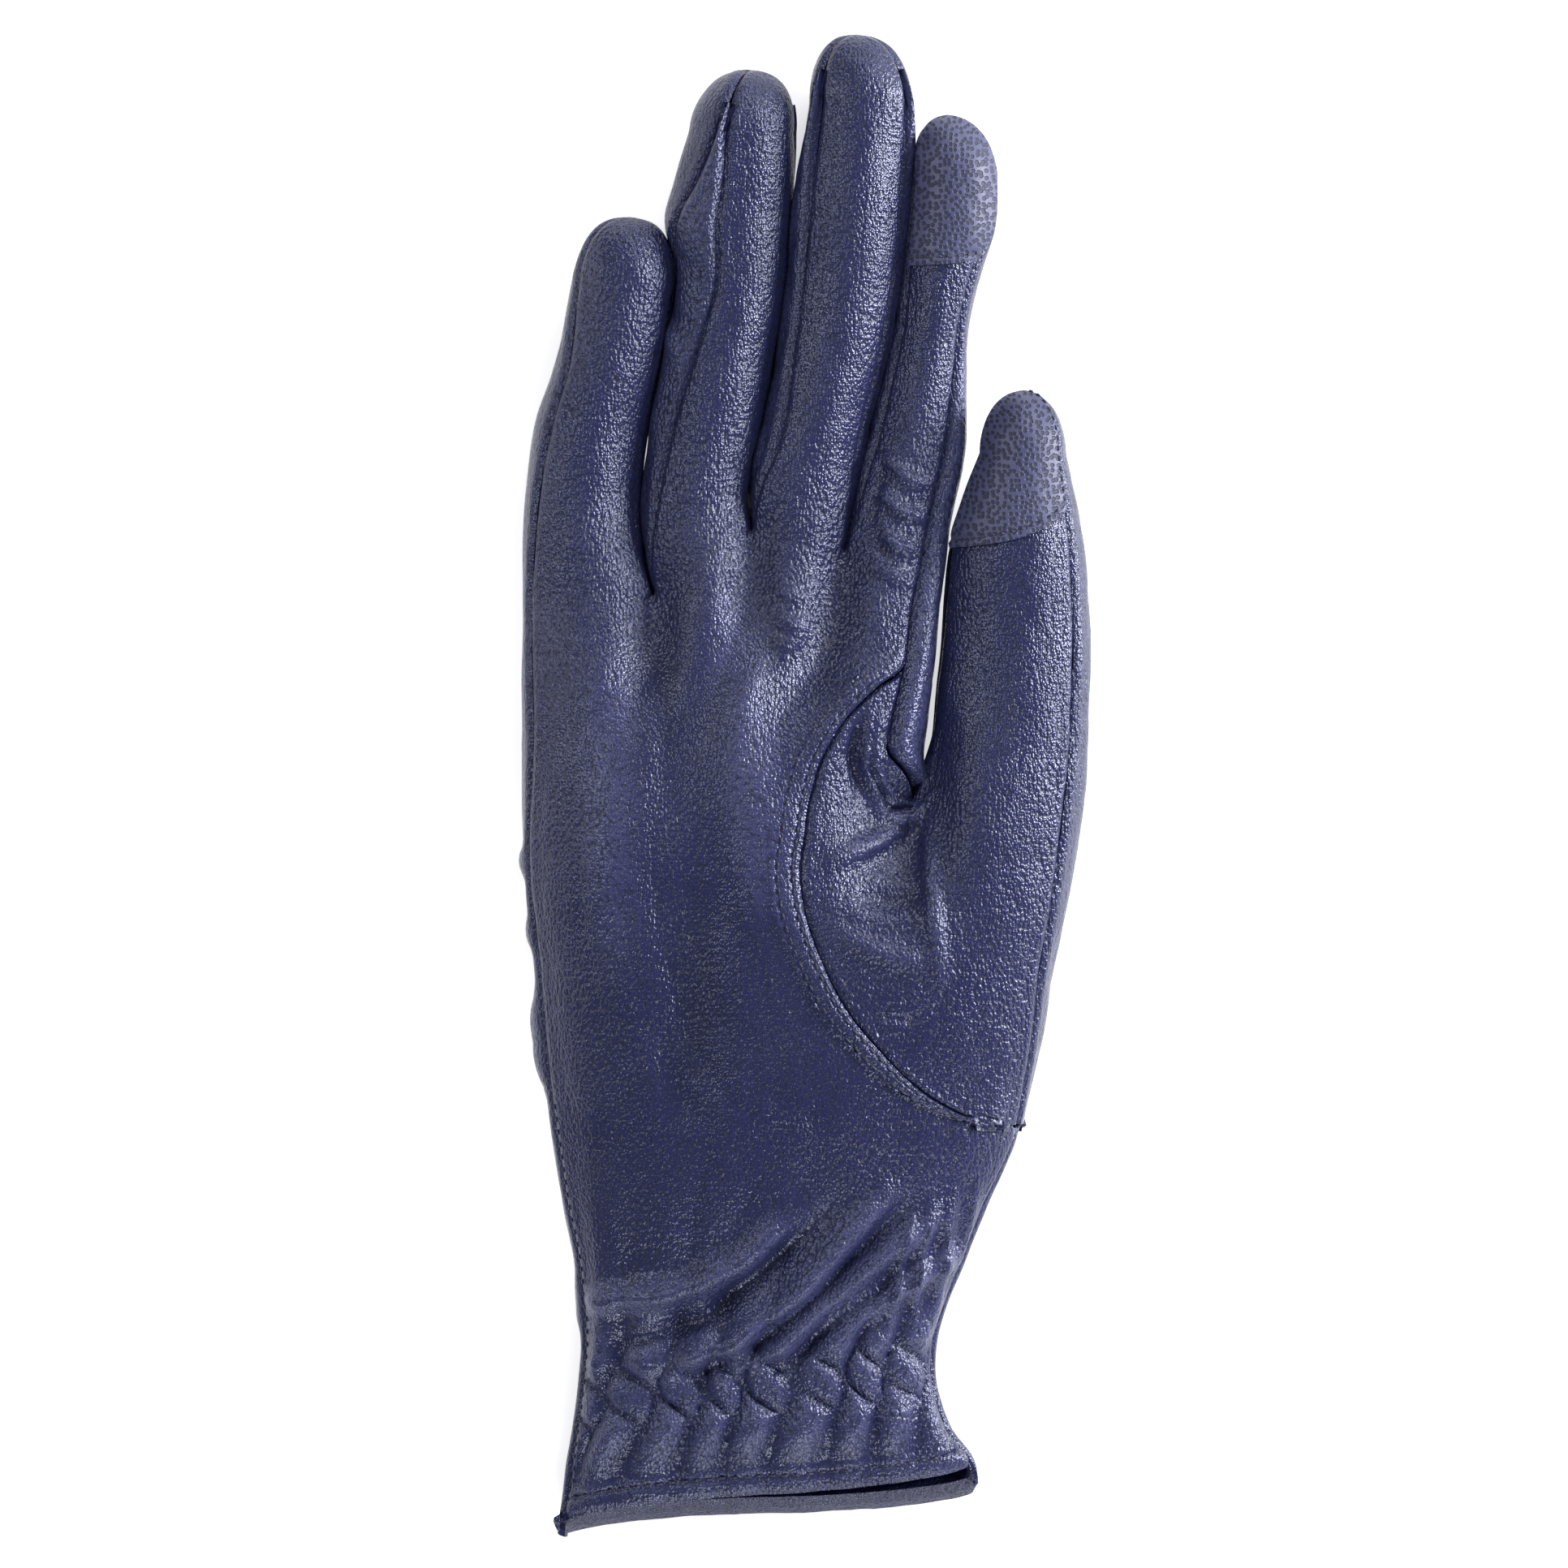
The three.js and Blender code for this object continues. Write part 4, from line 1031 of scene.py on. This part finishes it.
# %% [markdown]
# The touch patches are embossed with small round dimples in loose rows. The Voronoi cells lie flat, seen
# from above, so that each dimple stays one round spot in the photograph's view.

# %% Dotted leather
DOT_PITCH = 0.88  # millimetres
DOT_DEPTH = 0.00016  # metres
DOT_GRAIN_SCALE, DOT_TONE_SCALE = 2600.0, 90.0
PATCH_BLUE = (0.060, 0.066, 0.150, 1)


def dotted(name):
    finish = Finish(name)
    place = finish.node("TexCoord").out("Object")
    flat = finish.node("Mapping", {}, {"Vector": place, "Scale": (1000 / DOT_PITCH, 1000 / DOT_PITCH, 1)})
    dots = finish.node("TexVoronoi", {"voronoi_dimensions": "2D"}, {
        "Vector": flat, "Scale": 1.0, "Randomness": 0.75,
    })
    dimple = 1 - finish.step(dots, 0.27, 0.46)
    grain = finish.cloud(place, DOT_GRAIN_SCALE, 2.0)
    tone = finish.cloud(place, DOT_TONE_SCALE, 2.0)
    # painted shade: the dimples are coloured darker than the patch round them
    colour = finish.blend(dimple * 0.9, PATCH_BLUE, NAVY_SHADE)
    colour = finish.blend(tone * 0.3, colour, NAVY_RUBBED)
    roughness = 0.5 + 0.15 * (grain - 0.5) + 0.12 * dimple
    height = 0.3 * grain - 1.0 * dimple
    return finish.finish(
        colour, roughness, height, DOT_DEPTH,
        Specular_IOR_Level=0.6, Sheen_Weight=0.03, Sheen_Roughness=0.4, Sheen_Tint=LAVENDER,
    )


patch_leather = dotted("patch_leather")
print("dimples", DOT_PITCH, "mm apart on", patch_leather.name)

# %% [markdown]
# The thread has the leather's own colour. A stitch is about ten pixels long in the photograph, so slanted
# waves are enough for its twist. Its grooves are painted darker as shade and its strands paler as
# highlight.

# %% Thread
# dark and pale thread: painted shade in the twist's grooves and painted highlight on its strands
THREAD_DARK, THREAD_PALE = (0.008, 0.009, 0.03, 1), (0.035, 0.04, 0.1, 1)
TWIST_SCALE, TWIST_DEPTH = 900.0, 0.00006


def thread(name):
    finish = Finish(name)
    place = finish.node("TexCoord").out("Object")
    twist = finish.node("TexWave", {"bands_direction": "DIAGONAL"}, {"Vector": place, "Scale": TWIST_SCALE})
    # painted shade and highlight: the twist's grooves are darker and its strands paler, as its bump rises
    colour = finish.blend(twist, THREAD_DARK, THREAD_PALE)
    roughness = 0.55 + 0.1 * twist
    return finish.finish(colour, roughness, twist, TWIST_DEPTH, Sheen_Weight=0.2, Sheen_Roughness=0.4)


navy_thread = thread("navy_thread")
print("thread:", navy_thread.name)

# %% [markdown]
# ## Sewing the pieces
#
# A grid of points needs them close together where the leather bends most: beside the seams and round the
# fingertips. Even steps would waste most of them on flat leather.

# %% Places on a piece
PALM_COLUMNS = 128  # a quarter of them for each finger
PALM_STEPS = 8  # for each row of the pattern
FINGER_STEPS = 104


def quarter(count):
    """Places across a finger, closer together at its two seams"""
    t = np.linspace(0, 1, count + 1)
    return t - 0.6 * np.sin(2 * np.pi * t) / (2 * np.pi)


def quarters(count):
    """The same spacing, once for each of the four fingers"""
    places = [(quarter(count // 4)[:-1] + i) / 4 for i in range(4)]
    return np.concatenate([*places, [1]])


def along_finger(count):
    """Places from a finger's root to its tip, closer together round the tip"""
    t = np.linspace(0, 1, count)
    return np.sin(np.pi / 2 * (0.35 * t**2 + 0.65 * t))


def crossed(rows, columns):
    """Every row with every column, for the grid of a patch"""
    return np.meshgrid(rows, columns, indexing="ij")


def forks_of(columns):
    """Grid places of the three forks, at the top row of a piece"""
    return [(-1, columns // 4 * k) for k in (1, 2, 3)]


print("palm grid:", TOP_ROW * PALM_STEPS + 1, "by", PALM_COLUMNS + 1, "points")

# %% [markdown]
# The palm piece is the largest: cuff, wrist, palm and the fronts of all four fingers. Its hem is turned
# in, so the leather is double there, and a groove runs where the hem is stitched. Along the thumb its edge
# lies on top of the thumb piece, with two rows of stitches.

# %% Palm piece
HEM_STITCHES = 3.4  # millimetres above the edge
HEM_RISE = 0.5  # of the double leather; its groove and its rim sink back by as much
LAP_ROWS = (1.3, 3.9)  # millimetres from the palm's edge to its two rows of stitches
LAP_RISE, LAP_GROOVE = 0.55, 0.35
INDEX_PATCH = 0.665  # where the index finger's touch patch starts, as a share of its length
UNDER_PATCH = 0.03  # the leather runs on under a patch by this share


def hem(from_edge):
    """The turned edge of the cuff: double leather, a stitched groove and a rolled rim"""
    band = HEM_RISE * (1 - ease(share(from_edge, 3.8, 5.0)))
    return band - HEM_RISE * bell(from_edge - HEM_STITCHES, 0.45) - HEM_RISE * bell(from_edge, 0.7)


def lapped(off):
    """The palm's edge lies on the thumb: it stands up, with a groove at each row of stitches"""
    grooves = sum(bell(off - row, 0.4) for row in LAP_ROWS)
    return LAP_RISE * (1 - ease(share(off, 4.2, 5.6))) - LAP_GROOVE * grooves


rows = np.linspace(0, TOP_ROW, TOP_ROW * PALM_STEPS + 1)
columns = quarters(PALM_COLUMNS)
palm = Leather("sewn_palm")
palm_grid = palm_point(rows, columns)
from_right = distances(palm_grid[:, ::-1], axis=1)[:, ::-1]
on_thumb = ease(share(rows, CORNER_ROW, CORNER_ROW + 1.5)) * ease(share(rows, WEB_ROW + 0.5, WEB_ROW - 0.5))
palm_lift = gathers(rows[:, None], columns[None]) + hem(distances(palm_grid))
palm_lift = palm_lift + lapped(from_right) * on_thumb[:, None]
forks = forks_of(PALM_COLUMNS)
below_forks = [(-1 - 4 * k, column) for _, column in forks for k in range(14)]
palm.patch(palm_grid, palm_lift, pins=forks, soft=below_forks)
for finger in FINGERS:
    v = np.linspace(0, INDEX_PATCH + UNDER_PATCH, 76) if finger is INDEX else along_finger(FINGER_STEPS)
    palm.patch(finger_front(finger, v[:, None], quarter(PALM_COLUMNS // 4)[None]))
print(len(palm.grids), "patches of the palm piece")

# %% [markdown]
# The folds of the palm piece are read off the photograph one by one: width and height in millimetres, then
# the path that each follows, in the photograph's pixels. A negative height is a valley.

# %% Folds of the palm piece
PALM_FOLDS = [
    # wrist folds
    (2.6, 2.6, (700, 1605), (830, 1590), (900, 1560), (975, 1500)),
    (2.8, 3.4, (800, 1690), (900, 1650), (980, 1590), (1090, 1470)),
    (2.4, 3.0, (890, 1690), (960, 1650), (1050, 1570), (1150, 1500)),
    (2.2, 2.2, (1000, 1660), (1080, 1600), (1190, 1540)),
    (1.7, -1.9, (760, 1655), (870, 1622), (960, 1548), (1030, 1480)),
    (1.5, -1.8, (850, 1697), (940, 1652), (1020, 1582), (1120, 1480)),
    (1.4, -1.5, (950, 1690), (1030, 1630), (1120, 1560)),
    (1.0, 1.1, (1120, 1640), (1132, 1560), (1150, 1480)),
    (1.0, 1.1, (1150, 1630), (1160, 1560), (1176, 1470)),
    (1.0, 1.0, (1180, 1610), (1188, 1540), (1205, 1460)),
    (0.9, 1.0, (1095, 1640), (1105, 1570), (1125, 1490)),
    # palm: highlights on soft mounds, and the valleys between them
    (6.0, 1.5, (750, 790), (748, 1000), (756, 1200)),
    (6.0, 1.6, (890, 700), (925, 900), (935, 1150)),
    (7.0, -1.5, (850, 1080), (852, 1250), (840, 1400)),
    (3.4, -1.4, (805, 735), (812, 820), (840, 980)),
    (3.4, -1.4, (925, 655), (937, 760), (970, 900)),
    (3.4, -1.2, (1040, 680), (1022, 800), (1000, 900)),
    # below the fork of ring and middle finger
    (1.1, 0.8, (925, 700), (960, 730), (1005, 740)),
    (1.1, 0.8, (930, 732), (965, 765), (1010, 778)),
    (1.1, 0.6, (935, 765), (965, 795), (1000, 805)),
    # base of the index finger
    (1.2, 1.0, (1085, 560), (1118, 590), (1152, 600)),
    (1.2, 1.2, (1078, 600), (1110, 630), (1150, 645)),
    (1.2, 1.2, (1070, 645), (1100, 670), (1142, 685)),
    (1.2, 1.0, (1062, 690), (1098, 706), (1136, 722)),
    (1.0, -0.9, (1090, 575), (1072, 640), (1100, 700)),
]
sew(palm, palm_leather, "palm_panel", PALM_FOLDS, crease=0.12)

# %% [markdown]
# The back piece is hidden by the palm in the photograph, but its hem shows below the palm's, and it shows
# on both sides of the hand. It presses flat on the table.

# %% Back piece
BACK_COLUMNS = 100
BACK_STEPS = 7  # for each row of the pattern
EDGE_ROLL, ROLL_WIDTH = 2.3, 2.5  # millimetres, of the roll beside the index finger's seam
HEM_ROLL, HEM_ROLL_MIDDLE, HEM_ROLL_WIDTH = 3.4, 2.0, 1.9  # millimetres, of the rolled hem
HEM_ROLL_END = 0.06  # share of the hem over which its roll fades out, at each side


def edge_roll(off):
    """The back leather rolls out beside its seam at the root of the index finger"""
    return EDGE_ROLL * off / ROLL_WIDTH * np.exp(1 - off / ROLL_WIDTH)


back = Leather("sewn_back")
rows = np.linspace(0, TOP_ROW, TOP_ROW * BACK_STEPS + 1)
columns = quarters(BACK_COLUMNS)
back_grid = back_point(rows, columns)
inner = (ease(share(columns, 0, HEM_ROLL_END)) * ease(share(1 - columns, 0, HEM_ROLL_END)))[None]
back_grid[..., 2] += HEM_ROLL * inner * bell(distances(back_grid) - HEM_ROLL_MIDDLE, HEM_ROLL_WIDTH)
away = back.patch(back_grid, pins=forks_of(BACK_COLUMNS))
back.lifts[0] = edge_roll(away["l"]) * ease(share(rows, 20, 23))[:, None]
up = along_finger(90)
for finger in FINGERS[::-1]:
    away = back.patch(finger_back(finger, up[:, None], quarter(BACK_COLUMNS // 4)[None]))
    if finger is INDEX:
        back.lifts[-1] = edge_roll(away["l"]) * (1 - ease(share(up, 0.25, 0.6)))[:, None]
BACK_FOLDS = [
    # bumps and a bulge beside the little finger's seam
    (1.0, 0.9, (641, 1045), (641, 1062), (641, 1080)),
    (1.0, 0.8, (650, 1130), (652, 1150), (656, 1170)),
    (1.8, 1.6, (662, 1225), (659, 1285), (676, 1340)),
    (1.2, 0.9, (690, 1365), (697, 1400), (703, 1430)),
    (1.2, 1.0, (706, 1460), (713, 1500), (712, 1540)),
    (1.2, 0.9, (712, 1570), (716, 1610), (714, 1640)),
]
sew(back, back_leather, "back_panel", BACK_FOLDS, crease=0.12, seed=3.7)

# %% [markdown]
# A side strip runs up one side of a finger, round the fork and up the side of the next finger. It is what
# gives a sewn glove its box-shaped fingers.

# %% Side strips
SIDE_COLUMNS = 20
STRIP_BULGE = 1.0  # millimetres, so that neighbouring fingers touch


def side_strip(near, next_finger, replaced, lines=(), seed=1.3):
    strip_piece = Leather("side_strip_" + replaced.removeprefix("fourchette_"))
    c = np.linspace(0, 1, SIDE_COLUMNS + 1)
    up = np.linspace(0, SIDE_END, 100)
    near_side = finger_side(near, 1, up[::-1, None], c[None])
    next_side = finger_side(next_finger, -1, up[:, None], c[None])
    bulge = STRIP_BULGE * np.sin(np.pi * c)[None] * ease(share(up, 0.02, 0.2))[:, None]
    strip_piece.patch(near_side, bulge[::-1])
    strip_piece.patch(next_side, bulge)
    sew(strip_piece, side_leather, replaced, lines, crease=0.4, soft=0.2, seed=seed)


RING_SIDE_FOLD = (1.6, 0.7, (820, 390), (834, 425), (850, 462))
side_strip(LITTLE, RING, "fourchette_little_ring", [RING_SIDE_FOLD], seed=2.3)
side_strip(RING, MIDDLE, "fourchette_ring_middle")
side_strip(MIDDLE, INDEX, "fourchette_middle_index")

# %% [markdown]
# The thumb's front piece goes under the palm's edge at the long seam. Deep ridges run in a loop round the
# fork, where the web folds when the thumb lies beside the hand.

# %% Thumb
THUMB_PATCH = 0.62  # where the thumb's touch patch starts, as a share of its length
THUMB_RISE, INDEX_RISE = 0.1, 0.02  # of a patch's edge towards one side, as a share of the length
WEB_COLUMNS, THUMB_COLUMNS = 30, 80
BALL_STEPS, WEB_STEPS, SHAFT_STEPS = 90, 45, 75


def patch_start(c, start, rise):
    """A touch patch starts on a curve that rises towards one side"""
    return start + rise * c**3


thumb = Leather("sewn_thumb_front")
split = WEB_COLUMNS / (WEB_COLUMNS + THUMB_COLUMNS)
c = np.linspace(0, 1, WEB_COLUMNS + THUMB_COLUMNS + 1)
across = np.where(c < split, c / split * WEB_SHARE, mix(WEB_SHARE, 1, (c - split) / (1 - split)))
ball_rows = np.linspace(CORNER_ROW + 1, FORK_ROW, BALL_STEPS)
thumb.patch(thumb_ball_front(*crossed(ball_rows, across)))
web_rows = np.linspace(FORK_ROW, WEB_ROW, WEB_STEPS)
thumb.patch(thumb_web(*crossed(web_rows, np.linspace(0, 1, WEB_COLUMNS + 1))), seams="lrt")
t, c = crossed(np.linspace(0, 1, SHAFT_STEPS), np.linspace(0, 1, THUMB_COLUMNS + 1))
thumb.patch(thumb_front(t * (patch_start(c, THUMB_PATCH, THUMB_RISE) + UNDER_PATCH), c))
THUMB_FOLDS = [
    (2.0, 1.5, (1030, 1060), (1080, 1038), (1130, 1000)),
    (1.9, 1.2, (1150, 990), (1146, 1090), (1158, 1200)),
    (2.4, 0.9, (1030, 1150), (1090, 1175), (1150, 1190)),
    (2.4, -1.0, (1050, 1100), (1100, 1110), (1140, 1100)),
    (0.8, -0.5, (1080, 1250), (1120, 1256), (1162, 1240)),
    (1.1, 1.6, (1085, 880), (1080, 940), (1100, 985), (1125, 985), (1135, 960), (1130, 890)),
    (0.8, 1.2, (1098, 885), (1094, 935), (1106, 966), (1118, 966), (1124, 945), (1120, 890)),
    (1.0, 1.2, (1070, 880), (1064, 945), (1088, 1005), (1130, 1008), (1150, 975)),
    (1.6, -1.6, (1060, 880), (1052, 930), (1062, 985)),
]
sew(thumb, palm_leather, "thumb_front", THUMB_FOLDS, crease=0.12, seed=5.1)

thumb_rear = Leather("sewn_thumb_back")
c = np.linspace(0, 1, THUMB_COLUMNS + 1)
thumb_rear.patch(ball_back(*crossed(ball_rows, c)))
thumb_rear.patch(thumb_back(*crossed(along_finger(100), c)))
sew(thumb_rear, back_leather, "thumb_back", crease=0.12, seed=6.2)

# %% [markdown]
# The touch patches stand a little proud of the leather that they are sewn on.

# %% Touch patches
PROUD = 0.8  # millimetres
PATCH_STITCHES = 1.5  # millimetres from a patch's edge to its stitches
PATCH_COLUMNS, PATCH_ROWS = 49, 60


def tip_patch(name, surface, start, rise):
    patch = Leather("sewn_" + name)
    t, c = crossed(np.linspace(0, 1, PATCH_ROWS), np.linspace(0, 1, PATCH_COLUMNS))
    first = patch_start(c, start, rise)
    away = patch.patch(surface(first + (1 - first) * np.sin(np.pi / 2 * t), c), seams="lr")
    edge, groove = bell(away["b"], 0.4), bell(away["b"] - PATCH_STITCHES, 0.5)
    patch.lifts[0] = PROUD - 0.3 * edge - 0.35 * groove
    sew(patch, patch_leather, name, crease=0.12, soft=0.15, seed=8.0)
    return patch


def index_front(v, c):
    return finger_front(INDEX, v, c)


index_patch = tip_patch("index_touch_patch", index_front, INDEX_PATCH, INDEX_RISE)
thumb_patch = tip_patch("thumb_touch_patch", thumb_front, THUMB_PATCH, THUMB_RISE)

# %% [markdown]
# The stitches are one short thread each, sunk at both ends into the leather. They follow the outer faces
# of the sewn pieces at a fixed distance from an edge, as the foot of a sewing machine would.

# %% Stitches
SIDES = 6  # of a thread's section
RINGS = ((0, 0.5, -0.2), (0.25, 1, 0.12), (0.75, 1, 0.12), (1, 0.5, -0.2))  # place, thickness and height
FACES = SIDES * (len(RINGS) - 1) + 2  # of one stitch
FIRST_STITCH = 0.6  # millimetres from the start of a line


def on_line(place, run, points):
    """The point at a distance along a line"""
    return np.array([np.interp(place, run, points[:, k]) for k in range(3)])


def beside(face, side, distance, first=0, last=None):
    """A line on a grid at a distance in millimetres from its left, right, bottom or top edge"""
    points, normals = (part if side in "lr" else part.swapaxes(0, 1) for part in face)
    if side in "rt":
        points, normals = points[:, ::-1], normals[:, ::-1]
    pairs = [(line, up, distances(line)) for line, up in zip(points[first:last], normals[first:last])]
    places = [on_line(distance, run, line) for line, _, run in pairs]
    ways = [on_line(distance, run, up) for _, up, run in pairs]
    return np.array(places), np.array(ways)


def stitches(name, lines, length=1.5, pitch=2.1, radius=0.2):
    """Threads along lines of places and normals, joined into one object"""
    corners, faces = [], []
    turn = np.radians(np.arange(SIDES) * 360 / SIDES)[:, None]
    for places, ways in lines:
        run = distances(places)
        for start in np.arange(FIRST_STITCH, run[-1] - length, pitch):
            begin, end = on_line(start, run, places), on_line(start + length, run, places)
            up = on_line(start, run, ways)
            across = np.cross((end - begin) / np.linalg.norm(end - begin), up)
            base = len(corners) * SIDES
            for part, thick, high in RINGS:
                centre = mix(begin, end, part) + up * high
                corners.append(centre + radius * thick * (np.cos(turn) * across + np.sin(turn) * up))
            for ring in range(base, base + SIDES * (len(RINGS) - 1), SIDES):
                for k in range(SIDES):
                    a, b = ring + k, ring + (k + 1) % SIDES
                    faces.append([a, b, b + SIDES, a + SIDES])
            top = base + SIDES * (len(RINGS) - 1)
            faces += [[base + SIDES - 1 - k for k in range(SIDES)], [top + k for k in range(SIDES)]]
    obj = to_object(name, on_floor(np.concatenate(corners)), faces)
    obj.data.materials.append(navy_thread)
    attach(obj, "root")
    print(name, len(faces) // FACES, "stitches")


LAP_FIRST, LAP_LAST = CORNER_ROW * PALM_STEPS + 10, WEB_ROW * PALM_STEPS - 4  # grid rows of the long seam
SIDE_FIRST, SIDE_LAST = 10, 112  # grid rows of the little finger's side that show their stitches
SIDE_STITCHES = 1.2  # millimetres from the side seam
palm_face = palm.faces[0]
stitches("thumb_seam_stitches", [beside(palm_face, "r", row, LAP_FIRST, LAP_LAST) for row in LAP_ROWS])
stitches("hem_stitches", [beside(palm_face, "b", HEM_STITCHES, 3, -3)])
side_line = beside(palm_face, "l", SIDE_STITCHES, SIDE_FIRST, SIDE_LAST)
stitches("side_seam_stitches", [side_line], length=1.2, radius=0.16)
patch_edges = (index_patch, "b"), (thumb_patch, "b"), (thumb_patch, "r")
patch_lines = [beside(patch.faces[0], side, PATCH_STITCHES, 2, -2) for patch, side in patch_edges]
stitches("patch_stitches", patch_lines, length=1.2, pitch=1.7)

# %% [markdown]
# ## The studio
#
# The photograph is lit softly from all round, with the strongest light low on the right: it draws pale
# lines along the right side of every finger. A white table and a white sky do the rest.

# %% Floor and light
FLOOR_HALF = 3  # metres
WORLD_LIGHT = 0.15
floor_finish = Finish("studio_floor")
floor_shader = floor_finish.node("BsdfPrincipled", {}, {
    "Base Color": (0.93, 0.93, 0.94, 1), "Roughness": 0.9,
    "Emission Color": (1, 1, 1, 1), "Emission Strength": 0.6,
})
floor_finish.node("OutputMaterial", {}, {"Surface": floor_shader})
floor_mesh = bpy.data.meshes.new("floor")
floor_corners = [(x * FLOOR_HALF, y * FLOOR_HALF, 0) for x, y in ((-1, -1), (1, -1), (1, 1), (-1, 1))]
floor_mesh.from_pydata(floor_corners, [], [(0, 1, 2, 3)])
floor_mesh.materials.append(floor_finish.material)
floor = bpy.data.objects.new("floor", floor_mesh)
bpy.context.scene.collection.objects.link(floor)

world = bpy.data.worlds.new("studio")
world.use_nodes = True
sky = world.node_tree.nodes["Background"]
sky.inputs["Color"].default_value = (0.95, 0.96, 1.0, 1)
sky.inputs["Strength"].default_value = WORLD_LIGHT
bpy.context.scene.world = world
bpy.context.scene.view_settings.view_transform = "Standard"


def softbox(name, place, size, power, aim=(0, 0, 0.01)):
    light = bpy.data.lights.new(name, "AREA")
    light.shape = "RECTANGLE"
    light.size, light.size_y = size
    light.energy = power
    lamp = bpy.data.objects.new(name, light)
    lamp.location = place
    lamp.rotation_euler = (Vector(place) - Vector(aim)).to_track_quat("Z", "Y").to_euler()
    bpy.context.scene.collection.objects.link(lamp)


softbox("right_light", (1.05, 0.3, 0.3), (0.25, 0.6), 22)
softbox("left_light", (-0.75, 0.3, 0.8), (0.25, 0.5), 4)
softbox("top_light", (0.35, 1.0, 0.6), (0.4, 0.25), 6)
softbox("low_light", (0.1, -1.0, 0.6), (0.5, 0.25), 7)
